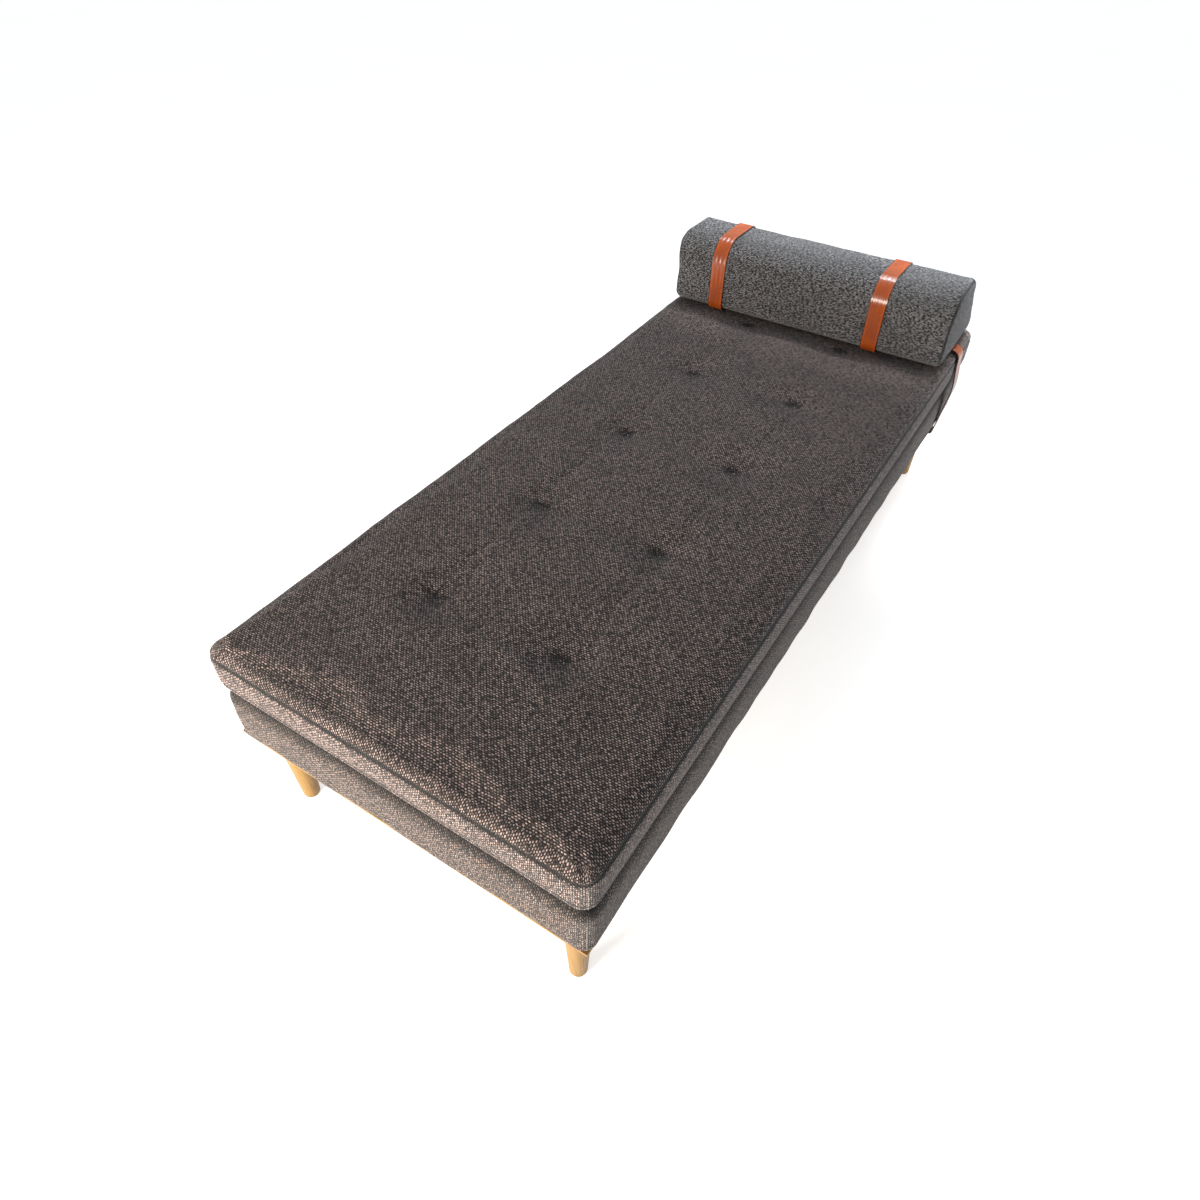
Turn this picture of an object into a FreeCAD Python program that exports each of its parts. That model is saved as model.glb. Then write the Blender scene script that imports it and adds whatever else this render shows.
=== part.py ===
"""Daybed: upholstered box base on four turned oak legs, loose tufted mattress, and a wedge bolster
held by two leather straps to a belt that runs round the mattress and the base.

Frame: millimetres, origin on the floor under the middle of the base.  X runs along the daybed from
the foot end (-X) to the head end (+X), Y across it with the near side at -Y, Z is up.
"""
import FreeCAD, Part
import Sketcher
import os
import re

# name, value, what it is.  All in millimetres.
SIZES = [
    # upholstered base
    ("base_length", 1976, "fabric to fabric along the daybed"),
    ("base_width", 800, "fabric to fabric across it"),
    ("base_height", 128, "fabric box, from the oak rim to its top"),
    ("base_corner", 22, "radius of the upholstered upright corners"),
    ("base_roll", 10, "radius of the fabric's lower edge"),
    ("cloth", 1.5, "thickness of the upholstery cloth"),
    ("side_padding", 10, "wadding on the outside of the rails"),
    ("top_padding", 22, "foam over the slats"),
    # oak rim under the base
    ("rim_thickness", 6, "oak boards under the rails"),
    ("rim_width", 92, "width of those boards"),
    ("rim_inset", 5, "from the fabric's face in to the rim's edge"),
    # frame inside
    ("rail_thickness", 24, "pine rails"),
    ("ledge_size", 24, "square battens that carry the slats"),
    ("slat_thickness", 12, "beech slats"),
    ("slat_width", 62, "beech slats"),
    ("slat_play", 2, "slat end to rail"),
    ("beam_thickness", 24, "cross beams between the side rails"),
    ("beam_height", 60, "cross beams between the side rails"),
    ("block_side", 70, "corner blocks that take the leg bolts"),
    ("block_height", 58, "corner blocks that take the leg bolts"),
    ("underside_cloth", 0.8, "nonwoven cloth that closes the rim from below"),
    # legs
    ("leg_height", 230, "floor to the oak rim, glide included"),
    ("leg_inset", 59, "base's face to the leg's axis, both ways"),
    ("leg_top_radius", 28, "turned oak leg"),
    ("leg_foot_radius", 17, "turned oak leg"),
    ("leg_edge", 2, "rounding of the leg's foot"),
    ("glide_thickness", 3, "felt disc under the leg"),
    ("glide_radius", 15, "felt disc under the leg"),
    ("bolt_radius", 4, "M8 hanger bolt"),
    ("bolt_in_leg", 45, "length of the bolt in the leg"),
    ("bolt_in_block", 40, "length of the bolt in the corner block"),
    ("insert_radius", 6, "threaded insert in the corner block"),
    ("insert_length", 25, "threaded insert in the corner block"),
    # mattress
    ("mattress_length", 1984, "loose mattress"),
    ("mattress_width", 812, "loose mattress"),
    ("mattress_height", 112, "loose mattress"),
    ("mattress_corner", 32, "radius of its upright corners"),
    ("mattress_top_roll", 20, "radius of its upper edge"),
    ("mattress_low_roll", 12, "radius of its lower edge"),
    ("tuft_pitch", 333, "row to row, along the daybed"),
    ("tuft_offset", 138, "column to the middle line"),
    ("tuft_depth", 13, "dimple"),
    ("tuft_radius", 30, "dimple at the surface"),
    ("tuft_floor", 4, "radius of the dimple's floor"),
    ("tie_radius", 1, "twine through the mattress"),
    ("disc_radius", 15, "disc that holds each tie below"),
    ("disc_thickness", 2, "disc that holds each tie below"),
    # zip in the mattress's head end
    ("zip_length", 700, "across the head end"),
    ("zip_tape", 26, "tape's height"),
    ("zip_height", 26, "mattress underside to the zip's middle"),
    ("zip_teeth", 5, "height of the row of teeth"),
    ("zip_teeth_depth", 1.4, "teeth proud of the cloth"),
    ("slider_length", 10, "along the zip"),
    ("slider_height", 8, "slider body"),
    ("slider_wall", 1, "slider body"),
    ("pull_length", 22, "pull tab"),
    ("pull_width", 5, "pull tab"),
    # bolster
    ("bolster_length", 774, "across the daybed"),
    ("bolster_front", 667, "front face from the origin"),
    ("bolster_top", 165, "depth of the top face"),
    ("bolster_bottom", 318, "depth of the bottom face"),
    ("bolster_height", 186, "bottom face to top face"),
    ("bolster_round", 26, "radius of the long edges"),
    ("bolster_end_round", 14, "radius round the two end faces"),
    # leather
    ("strap_width", 42, "straps and belt"),
    ("leather", 3, "thickness of straps and belt"),
    ("skived", 2, "leather thinned where it folds round the buckle's bar"),
    ("near_strap", -197, "strap's middle from the middle line"),
    ("far_strap", 255, "strap's middle from the middle line"),
    ("belt_place", 825, "belt's middle from the origin"),
    ("belt_stand_off", 7, "belt to the mattress's side"),
    ("belt_low_round", 6, "inner radius of the belt under the base's edges"),
    ("soft_gap", 0.4, "moving leather to the mattress and the base"),
    ("belt_buckle_place", -120, "belt buckle's bar from the middle line"),
    ("strap_buckle_rise", 5.8, "strap buckle above the bolster's lower bend, along the slope"),
    ("tail", 95, "free end of a strap beyond the buckle's bar"),
    ("tongue_drop", 19, "from the buckle's bar to where the tongue lies flat again"),
    ("tongue_bend", 1.5, "outer side of each bend in the tongue past its inner side"),
    ("fold_back", 14.6, "skived end of the fold behind the buckle's bar"),
    ("keeper_place", 46, "keeper loop from the buckle's bar"),
    ("keeper_width", 12, "keeper loop"),
    ("keeper_leather", 2, "keeper loop"),
    # roller buckles
    ("bar_radius", 2, "bars of the buckle's frame"),
    ("buckle_reach", 30, "heel bar to roller bar"),
    ("buckle_gap", 0.3, "buckle to leather"),
    ("running_gap", 0.1, "on the bars, all round"),
    ("roller_wall", 0.9, "roller tube"),
    ("prong_radius", 1.4, "prong"),
    ("prong_reach", 36, "prong's length"),
    ("prong_slot", 4.8, "width of the slots that the prong passes"),
    ("eye_wall", 1.2, "prong's eye round the bar"),
    ("overcut", 1, "how far a cutting shape runs past what it cuts"),
]

SLAT_COUNT = 14
BEAM_COUNT = 3
TUFT_ROWS = 5
ALIASES = [name for name, _, _ in SIZES]

doc = FreeCAD.newDocument("Daybed")
sheet = doc.addObject("Spreadsheet::Sheet", "Sizes")
for row, (alias, value, meaning) in enumerate(SIZES, start=1):
    sheet.set(f"A{row}", meaning)
    sheet.set(f"B{row}", str(value))
    sheet.setAlias(f"B{row}", alias)
doc.recompute()

# Heights and places that several pieces share, as formulas over the sheet.
RIM_TOP = "(leg_height + rim_thickness)"
BASE_TOP = f"({RIM_TOP} + base_height)"
RAIL_TOP = f"({BASE_TOP} - top_padding - cloth)"
RAIL_INSET = "(cloth + side_padding)"
MATTRESS_TOP = f"({BASE_TOP} + mattress_height)"
LEG_X = "(base_length / 2 - leg_inset)"
LEG_Y = "(base_width / 2 - leg_inset)"
INNER_LENGTH = f"(base_length - 2 * {RAIL_INSET} - 2 * rail_thickness)"
INNER_WIDTH = f"(base_width - 2 * {RAIL_INSET} - 2 * rail_thickness)"
STRAP_FLOOR = f"({MATTRESS_TOP} + soft_gap)"
BELT_FLOOR = f"({STRAP_FLOOR} + leather)"
BOLSTER_FLOOR = f"({BELT_FLOOR} + leather)"
BELT_UNDER = "(leg_height - soft_gap)"
FOLD_RADIUS = "(bar_radius + buckle_gap + skived)"
ROLLER_RADIUS = "(bar_radius + running_gap + roller_wall)"
ROLLER_HEIGHT = f"(leather + buckle_gap + {ROLLER_RADIUS})"
BUCKLE_HALF = "(strap_width / 2 + buckle_gap + bar_radius)"
TONGUE_START = "(0.7 * buckle_reach)"
HOLE_START = "(0.14 * buckle_reach)"
HOLE_LENGTH = "(0.43 * buckle_reach)"
CUT_WIDTH = "(strap_width + 2 * overcut)"
CUT_SIDE = f"(-{CUT_WIDTH} / 2)"


# ---------------------------------------------------------------- tools for building

def formula(text):
    """A formula over the sheet: every alias gets the sheet's name in front."""
    return re.sub(r"\b(" + "|".join(ALIASES) + r")\b", r"Sizes.\1", str(text))


def bind(thing, **sizes):
    for name, text in sizes.items():
        thing.setExpression(name, formula(text))


def place(thing, x="0", y="0", z="0"):
    for axis, text in (("x", x), ("y", y), ("z", z)):
        thing.setExpression(f"Placement.Base.{axis}", formula(text))
    return thing


def box(name, length, width, height, x, y, z):
    """A block whose lower corner stands at x, y, z."""
    made = doc.addObject("Part::Box", name)
    bind(made, Length=length, Width=width, Height=height)
    return place(made, x, y, z)


def cylinder(name, radius, height, x="0", y="0", z="0", axis="z"):
    """A rod that starts at x, y, z and runs along the axis."""
    made = doc.addObject("Part::Cylinder", name)
    bind(made, Radius=radius, Height=height)
    turns = {"x": ((0, 1, 0), 90), "y": ((1, 0, 0), -90), "z": ((0, 0, 1), 0)}
    direction, angle = turns[axis]
    made.Placement.Rotation = FreeCAD.Rotation(FreeCAD.Vector(*direction), angle)
    return place(made, x, y, z)


def cone(name, low_radius, high_radius, height, x, y, z):
    made = doc.addObject("Part::Cone", name)
    bind(made, Radius1=low_radius, Radius2=high_radius, Height=height)
    return place(made, x, y, z)


def cut(name, base, tool):
    made = doc.addObject("Part::Cut", name)
    made.Base = base
    made.Tool = tool
    return made


def fuse(name, pieces):
    made = doc.addObject("Part::MultiFuse", name)
    made.Shapes = pieces
    made.Refine = True
    return made


def group(name, pieces):
    made = doc.addObject("Part::Compound", name)
    made.Links = pieces
    return made


def new_body(name):
    return doc.addObject("PartDesign::Body", name)


def origin_plane(body, role):
    return next(plane for plane in body.Origin.OriginFeatures if plane.Role == role)


def outline(body, role, corners, name="Outline", offset="0"):
    """A closed sketch through the corners, each held at its own two formulas."""
    sketch = body.newObject("Sketcher::SketchObject", f"{body.Name}_{name}")
    sketch.AttachmentSupport = [(origin_plane(body, role), "")]
    sketch.MapMode = "FlatFace"
    bind(sketch, **{".AttachmentOffset.Base.z": offset})
    # The sketch starts near its final shape, so that the solver keeps the corners in order.
    start = [tuple(number(text) for text in corner) for corner in corners]
    count = len(corners)
    for index in range(count):
        here = FreeCAD.Vector(*start[index], 0)
        there = FreeCAD.Vector(*start[(index + 1) % count], 0)
        sketch.addGeometry(Part.LineSegment(here, there))
    for index in range(count):
        following = (index + 1) % count
        sketch.addConstraint(Sketcher.Constraint("Coincident", index, 2, following, 1))
    for index, corner in enumerate(corners):
        for kind, text, value in zip(("DistanceX", "DistanceY"), corner, start[index]):
            held = sketch.addConstraint(Sketcher.Constraint(kind, -1, 1, index, 1, value))
            sketch.setExpression(f"Constraints[{held}]", formula(text))
    return sketch


def number(text):
    """The value of a formula in millimetres, for the start of a sketch or a choice of edges."""
    value = sheet.evalExpression(re.sub(r"Sizes\.", "", formula(text)))
    return float(getattr(value, "Value", value))


def pad(body, sketch, length, middle=True):
    made = body.newObject("PartDesign::Pad", f"{body.Name}_Pad")
    made.Profile = sketch
    made.SideType = "Symmetric" if middle else "One side"
    bind(made, Length=length)
    sketch.Visibility = False
    return made


def fillet(body, base, radius, keep):
    """Rounds the edges of the base feature that the test keep picks."""
    doc.recompute()
    names = [f"Edge{i}" for i, edge in enumerate(base.Shape.Edges, start=1) if keep(edge)]
    made = body.newObject("PartDesign::Fillet", f"{body.Name}_Fillet")
    made.Base = (base, names)
    bind(made, Radius=radius)
    body.Tip = made
    return made


def along(direction):
    """A test for straight edges that run along the direction."""
    wanted = FreeCAD.Vector(*direction)

    def keep(edge):
        if not isinstance(edge.Curve, Part.Line):
            return False
        return abs(abs(edge.tangentAt(edge.FirstParameter).dot(wanted)) - 1) < 1e-6

    return keep


def at_height(height):
    """A test for edges that lie at one height."""
    level = number(height)
    return lambda edge: edge.BoundBox.ZLength < 1e-4 and abs(edge.BoundBox.ZMin - level) < 1e-3


def soft_block(name, length, width, height, low, corner, top_roll="0", low_roll="0"):
    """An upholstered block: upright corners rounded first, then its upper and lower edges."""
    body = new_body(name)
    half_long, half_wide = f"{length} / 2", f"{width} / 2"
    corners = [(f"-{half_long}", f"-{half_wide}"), (half_long, f"-{half_wide}"),
               (half_long, half_wide), (f"-{half_long}", half_wide)]
    sketch = outline(body, "XY_Plane", corners)
    solid = pad(body, sketch, height, middle=False)
    place(body, z=low)
    solid = fillet(body, solid, corner, along((0, 0, 1)))
    if number(top_roll) > 0:
        solid = fillet(body, solid, top_roll, at_height(height))
    if number(low_roll) > 0:
        solid = fillet(body, solid, low_roll, at_height("0"))
    return body


def finish(thing, node):
    """Names the piece: the label is its node and its file."""
    thing.Label = node
    NODES.append(thing)
    return thing


NODES = []


# ---------------------------------------------------------------- base frame

def make_frame():
    rail_height = f"({RAIL_TOP} - {RIM_TOP})"
    rail_length = f"(base_length - 2 * {RAIL_INSET})"
    for node, y in (("side_rail_near", f"-(base_width / 2) + {RAIL_INSET}"),
                    ("side_rail_far", f"base_width / 2 - {RAIL_INSET} - rail_thickness")):
        rail = box(node, rail_length, "rail_thickness", rail_height, f"-{rail_length} / 2", y, RIM_TOP)
        finish(rail, node)
    for node, x in (("end_rail_foot", f"-(base_length / 2) + {RAIL_INSET}"),
                    ("end_rail_head", f"base_length / 2 - {RAIL_INSET} - rail_thickness")):
        rail = box(node, "rail_thickness", INNER_WIDTH, rail_height, x, f"-{INNER_WIDTH} / 2", RIM_TOP)
        finish(rail, node)

    beams = []
    for index in range(BEAM_COUNT):
        x = f"{INNER_LENGTH} * ({index + 1} / {BEAM_COUNT + 1} - 0.5) - beam_thickness / 2"
        beams.append(box(f"Beam{index}", "beam_thickness", INNER_WIDTH, "beam_height",
                         x, f"-{INNER_WIDTH} / 2", RIM_TOP))
    finish(group("Beams", beams), "cross_beams")

    ledge_low = f"({RAIL_TOP} - slat_thickness - ledge_size)"
    ledges = []
    for side, y in (("Near", f"-{INNER_WIDTH} / 2"), ("Far", f"{INNER_WIDTH} / 2 - ledge_size")):
        ledges.append(box(f"Ledge{side}", INNER_LENGTH, "ledge_size", "ledge_size",
                          f"-{INNER_LENGTH} / 2", y, ledge_low))
    finish(group("Ledges", ledges), "slat_ledges")

    slats = []
    slat_length = f"({INNER_WIDTH} - 2 * slat_play)"
    for index in range(SLAT_COUNT):
        x = f"{INNER_LENGTH} * ({2 * index + 1} / {2 * SLAT_COUNT} - 0.5) - slat_width / 2"
        slats.append(box(f"Slat{index}", "slat_width", slat_length, "slat_thickness",
                         x, f"-{slat_length} / 2", f"{RAIL_TOP} - slat_thickness"))
    finish(group("Slats", slats), "slats")


def make_rim():
    """Four oak boards, the end boards between the side boards, flush underneath."""
    length = "(base_length - 2 * rim_inset)"
    width = "(base_width - 2 * rim_inset)"
    for node, y in (("rim_near", f"-{width} / 2"), ("rim_far", f"{width} / 2 - rim_width")):
        board = box(f"{node}_board", length, "rim_width", "rim_thickness", f"-{length} / 2", y, "leg_height")
        finish(cut(node, board, leg_bolts(f"{node}_holes", "bolt_radius")), node)
    for node, x in (("rim_foot", f"-{length} / 2"), ("rim_head", f"{length} / 2 - rim_width")):
        finish(box(node, "rim_width", f"{width} - 2 * rim_width", "rim_thickness",
                   x, f"-{width} / 2 + rim_width", "leg_height"), node)
    cloth_length = f"({length} - 2 * rim_width)"
    cloth_width = f"({width} - 2 * rim_width)"
    finish(box("DustCover", cloth_length, cloth_width, "underside_cloth",
               f"-{cloth_length} / 2", f"-{cloth_width} / 2", "leg_height"), "dust_cover")


def corners_of_base():
    """The four leg places, as a name and the signs of X and Y."""
    for end, sign_x in (("foot", "-"), ("head", "")):
        for side, sign_y in (("near", "-"), ("far", "")):
            yield f"{end}_{side}", sign_x, sign_y


def leg_bolts(name, radius):
    """A bolt, or a hole for it, on each leg's axis."""
    bolts = []
    for corner, sign_x, sign_y in corners_of_base():
        bolts.append(cylinder(f"{name}_{corner}", radius, "bolt_in_leg + rim_thickness + bolt_in_block",
                              f"{sign_x}{LEG_X}", f"{sign_y}{LEG_Y}", "leg_height - bolt_in_leg"))
    return group(name, bolts)


def make_corner_blocks():
    """Blocks in the four inner corners, each with a threaded insert and the leg's bolt."""
    blocks = []
    inserts = []
    for corner, sign_x, sign_y in corners_of_base():
        x = f"-{INNER_LENGTH} / 2" if sign_x else f"{INNER_LENGTH} / 2 - block_side"
        y = f"-{INNER_WIDTH} / 2" if sign_y else f"{INNER_WIDTH} / 2 - block_side"
        blocks.append(box(f"Block_{corner}", "block_side", "block_side", "block_height", x, y, RIM_TOP))
        inserts.append(cylinder(f"Insert_{corner}", "insert_radius", "insert_length",
                                f"{sign_x}{LEG_X}", f"{sign_y}{LEG_Y}", RIM_TOP))
    blocks = group("Blocks", blocks)
    inserts = group("Inserts", inserts)
    blocks = cut("BlocksBored", blocks, leg_bolts("BlockHoles", "bolt_radius"))
    finish(cut("CornerBlocks", blocks, inserts), "corner_blocks")
    finish(cut("LegInserts", inserts, leg_bolts("InsertHoles", "bolt_radius")), "leg_inserts")


def make_legs():
    """Turned legs: a taper with a rounded foot, a felt glide below and a bolt in the top."""
    glides = []
    wood = "(leg_height - glide_thickness)"
    for corner, sign_x, sign_y in corners_of_base():
        body = new_body(f"Leg_{corner}")
        sketch = outline(body, "XZ_Plane", [("0", "0"), ("leg_foot_radius", "0"),
                                            ("leg_top_radius", wood), ("0", wood)])
        turned = body.newObject("PartDesign::Revolution", f"{body.Name}_Turned")
        turned.Profile = sketch
        turned.ReferenceAxis = (sketch, ["V_Axis"])
        turned.Angle = 360
        place(body, f"{sign_x}{LEG_X}", f"{sign_y}{LEG_Y}", "glide_thickness")
        fillet(body, turned, "leg_edge", at_height("0"))
        bored = cut(f"LegBored_{corner}", body, leg_bolts(f"LegHoles_{corner}", "bolt_radius"))
        finish(bored, f"leg_{corner}")
        glides.append(cylinder(f"Glide_{corner}", "glide_radius", "glide_thickness",
                               f"{sign_x}{LEG_X}", f"{sign_y}{LEG_Y}"))
    finish(leg_bolts("LegBolts", "bolt_radius"), "leg_bolts")
    finish(group("Glides", glides), "leg_glides")


# ---------------------------------------------------------------- upholstery of the base

def make_base_upholstery():
    """Wadding over the rails and slats, and the cloth over the wadding, both open below."""
    rails = box("RailsEnvelope", f"base_length - 2 * {RAIL_INSET}", f"base_width - 2 * {RAIL_INSET}",
                f"{RAIL_TOP} - {RIM_TOP}", f"-base_length / 2 + {RAIL_INSET}",
                f"-base_width / 2 + {RAIL_INSET}", RIM_TOP)
    wadding = soft_block("Wadding", "(base_length - 2 * cloth)", "(base_width - 2 * cloth)",
                         "(base_height - cloth)", RIM_TOP, "base_corner - cloth",
                         low_roll="base_roll - cloth")
    cloth = soft_block("BaseCloth", "base_length", "base_width", "base_height", RIM_TOP,
                       "base_corner", low_roll="base_roll")
    finish(cut("BasePadding", wadding, rails), "base_padding")
    hollow = cut("BaseClothHollow", cloth, wadding)
    finish(cut("BaseCover", hollow, rails), "base_cover")


# ---------------------------------------------------------------- mattress

def tuft_places():
    for row in range(TUFT_ROWS):
        for side, sign in (("near", "-"), ("far", "")):
            yield f"{row}_{side}", f"{row - TUFT_ROWS // 2} * tuft_pitch", f"{sign}tuft_offset"


def dimples(name, inset):
    """The tufts' dimples, the whole set lowered and widened by the inset."""
    floor = f"({MATTRESS_TOP} - tuft_depth - ({inset}))"
    return group(name, [cone(f"{name}_{key}", f"tuft_floor + ({inset})", f"tuft_radius + ({inset})",
                             "tuft_depth", x, y, floor) for key, x, y in tuft_places()])


def make_mattress():
    cover = soft_block("MattressOuter", "mattress_length", "mattress_width", "mattress_height", BASE_TOP,
                       "mattress_corner", "mattress_top_roll", "mattress_low_roll")
    filling = soft_block("MattressInner", "(mattress_length - 2 * cloth)", "(mattress_width - 2 * cloth)",
                         "(mattress_height - 2 * cloth)", f"{BASE_TOP} + cloth", "mattress_corner - cloth",
                         "mattress_top_roll - cloth", "mattress_low_roll - cloth")
    cover = cut("MattressOuterTufted", cover, dimples("CoverDimples", "0"))
    filling = cut("MattressInnerTufted", filling, dimples("FillingDimples", "cloth"))
    shell = cut("MattressShell", cover, filling)

    tape = box("ZipTape", "cloth", "zip_length", "zip_tape", "mattress_length / 2 - cloth",
               "-zip_length / 2", f"{BASE_TOP} + zip_height - zip_tape / 2")
    teeth = box("ZipTeeth", "zip_teeth_depth", "zip_length", "zip_teeth", "mattress_length / 2",
                "-zip_length / 2", f"{BASE_TOP} + zip_height - zip_teeth / 2")
    finish(cut("MattressCover", shell, tape), "mattress_cover")
    finish(fuse("MattressZip", [tape, teeth]), "mattress_zip")

    ties = []
    discs = []
    disc_low = f"({BASE_TOP} + cloth)"
    tie_low = f"({disc_low} + disc_thickness)"
    for key, x, y in tuft_places():
        discs.append(cylinder(f"Disc_{key}", "disc_radius", "disc_thickness", x, y, disc_low))
        ties.append(cylinder(f"Tie_{key}", "tie_radius", f"{MATTRESS_TOP} - tuft_depth - cloth - {tie_low}",
                             x, y, tie_low))
    discs = finish(group("TuftDiscs", discs), "tuft_discs")
    ties = finish(group("TuftTies", ties), "tuft_ties")
    filling = cut("MattressFillingDiscs", filling, discs)
    finish(cut("MattressFilling", filling, ties), "mattress_core")


def make_zip_slider():
    """Slider with its pull tab hanging down, parked at the near end of the zip."""
    x = "mattress_length / 2 + buckle_gap"
    y = "-zip_length / 2"
    middle = f"({BASE_TOP} + zip_height)"
    depth = "(zip_teeth_depth + buckle_gap + slider_wall)"
    shell = box("SliderShell", depth, "slider_length", "slider_height", x, y,
                f"{middle} - slider_height / 2")
    groove = box("SliderGroove", "zip_teeth_depth", "slider_length + 2 * overcut",
                 "zip_teeth + 2 * buckle_gap", x, f"{y} - overcut", f"{middle} - zip_teeth / 2 - buckle_gap")
    slider = cut("SliderBody", shell, groove)
    tab = box("SliderPull", "slider_wall", "pull_width", "pull_length",
              f"{x} + {depth}", f"{y} + slider_length / 2 - pull_width / 2",
              f"{middle} + slider_height / 2 - pull_length")
    finish(fuse("ZipSlider", [slider, tab]), "mattress_zip_slider")


# ---------------------------------------------------------------- bolster

SLOPE_RUN = "(bolster_bottom - bolster_top)"
SLOPE = f"sqrt({SLOPE_RUN}^2 + bolster_height^2)"
SLOPE_ANGLE = f"atan(bolster_height / {SLOPE_RUN})"
LOWER_BEND = f"(bolster_round * ({SLOPE} + {SLOPE_RUN}) / bolster_height)"


def bolster_section(grow, drop="0"):
    """Corners of the wedge in X and Z, its sides moved out by grow and its bottom lowered by drop."""
    top = f"({BOLSTER_FLOOR} + bolster_height + {grow})"
    low = f"({BOLSTER_FLOOR} - ({drop}) - ({grow}))"
    front = f"(bolster_front - ({grow}))"
    back_top = f"(bolster_front + bolster_top + ({grow}) * ({SLOPE} - {SLOPE_RUN}) / bolster_height)"
    back_low = (f"(bolster_front + bolster_bottom + ({grow}) * ({SLOPE} + {SLOPE_RUN}) / bolster_height"
                f" + ({drop}) * {SLOPE_RUN} / bolster_height)")
    return [(front, low), (back_low, low), (back_top, top), (front, top)]


def wedge(name, grow, length, long_round, end_round):
    body = new_body(name)
    sketch = outline(body, "XZ_Plane", bolster_section(grow))
    solid = pad(body, sketch, length)
    solid = fillet(body, solid, long_round, along((0, 1, 0)))
    fillet(body, solid, end_round, on_ends(length))
    return body


def on_ends(length):
    """A test for edges round the two end faces of a block of that length along Y."""
    half = number(length) / 2
    return lambda edge: edge.BoundBox.YLength < 1e-4 and abs(abs(edge.BoundBox.YMin) - half) < 1e-3


def make_bolster():
    cover = wedge("BolsterOuter", "0", "bolster_length", "bolster_round", "bolster_end_round")
    core = wedge("BolsterInner", "(-cloth)", "(bolster_length - 2 * cloth)", "(bolster_round - cloth)",
                 "(bolster_end_round - cloth)")
    finish(cut("BolsterCover", cover, core), "bolster_cover")
    finish(core, "bolster_core")


# ---------------------------------------------------------------- straps, belt and buckles
# A buckle's own frame: X along the strap from the heel bar to the roller, Y across it, Z out of it,
# with the strap's inner face at Z = 0.

def strap_site(middle):
    """Where a bolster strap's buckle lies: on the sloping back, pointing down."""
    down = f"(1 - ({LOWER_BEND} + strap_buckle_rise + buckle_reach) / {SLOPE})"
    return {"x": f"bolster_front + bolster_top + {SLOPE_RUN} * {down}", "y": middle,
            "z": f"{BOLSTER_FLOOR} + bolster_height - bolster_height * {down}",
            "axis": (0, 1, 0), "angle": SLOPE_ANGLE}


BELT_SITE = {"x": "belt_place", "y": "belt_buckle_place", "z": BELT_UNDER, "axis": (1, 1, 0), "angle": "180"}


def settle(thing, site):
    """Moves a piece from the buckle's own frame to its site."""
    thing.Placement = FreeCAD.Placement(FreeCAD.Vector(), FreeCAD.Rotation(FreeCAD.Vector(*site["axis"]), 1))
    place(thing, site["x"], site["y"], site["z"])
    bind(thing, **{"Placement.Rotation.Angle": site["angle"]})
    return thing


def strap_loop(name, middle):
    """A closed loop of leather round the wedge and, below it, the belt."""
    rounds = {"Outer": ("leather", "(bolster_round + leather)"), "Inner": ("0", "bolster_round")}
    solids = []
    for key, (grow, radius) in rounds.items():
        body = new_body(f"{name}_{key}")
        width = "strap_width" if key == "Outer" else CUT_WIDTH
        solid = pad(body, outline(body, "XZ_Plane", bolster_section(grow, "leather")), width)
        fillet(body, solid, radius, along((0, 1, 0)))
        solids.append(place(body, y=middle))
    return cut(name, *solids)


def strap_end(name, site):
    """The two ends at a buckle: one folded round the heel bar, the other through the buckle."""
    over = f"(2 * {FOLD_RADIUS} + buckle_gap)"
    rest = "(leather + buckle_gap)"
    near = f"({FOLD_RADIUS})"
    drop = "-tongue_drop"
    upper = [(TONGUE_START, "0"), (near, over), (f"-{near}", over), (drop, rest), ("-tail", rest),
             ("-tail - strap_width / 4", f"{rest} + leather / 2"), ("-tail", f"{rest} + leather"),
             (f"{drop} - tongue_bend", f"{rest} + leather"), (f"-{near} - tongue_bend", f"{over} + leather"),
             (f"{near} + tongue_bend", f"{over} + leather"), (f"{TONGUE_START} + tongue_bend", "leather")]
    body = new_body(f"{name}_Tongue")
    pad(body, outline(body, "XZ_Plane", upper), "strap_width")
    settle(body, site)
    fold = cylinder(f"{name}_Fold", FOLD_RADIUS, "strap_width", "0", "-strap_width / 2", FOLD_RADIUS, "y")
    wedge_body = new_body(f"{name}_FoldBack")
    back = [("0", "0"), ("-fold_back", "leather"), ("0", f"2 * {near}")]
    pad(wedge_body, outline(wedge_body, "XZ_Plane", back), "strap_width")
    folded = settle(fuse(f"{name}_Folded", [fold, wedge_body]), site)
    return [body, folded]


def strap_openings(name, site):
    """What a buckle takes out of the leather: the heel bar's bore and the prong's two slots."""
    bore = cylinder(f"{name}_Bore", "bar_radius + buckle_gap", CUT_WIDTH, "0",
                    CUT_SIDE, FOLD_RADIUS, "y")
    side = "-prong_slot / 2"
    deep = f"2 * ({FOLD_RADIUS} + overcut)"
    fold_slot = box(f"{name}_FoldSlot", f"2 * {FOLD_RADIUS} + overcut", "prong_slot", deep,
                    f"-{FOLD_RADIUS} - overcut / 2", side, "-overcut / 4")
    hole = box(f"{name}_TongueHole", HOLE_LENGTH, "prong_slot", "tongue_drop", HOLE_START, side,
               "-overcut / 4")
    return settle(fuse(f"{name}_Openings", [bore, fold_slot, hole]), site)


def make_strap(node, loop, site):
    """A loop opened at its buckle, with its two ends shaped there."""
    stretch = box(f"{node}_Stretch", TONGUE_START, CUT_WIDTH, "leather + overcut", "0", CUT_SIDE,
                  "-overcut / 2")
    open_loop = cut(f"{node}_OpenLoop", loop, settle(group(f"{node}_Gap", [stretch]), site))
    whole = fuse(f"{node}_Whole", [open_loop] + strap_end(node, site))
    finish(cut(f"{node}_Leather", whole, strap_openings(node, site)), node)


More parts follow.
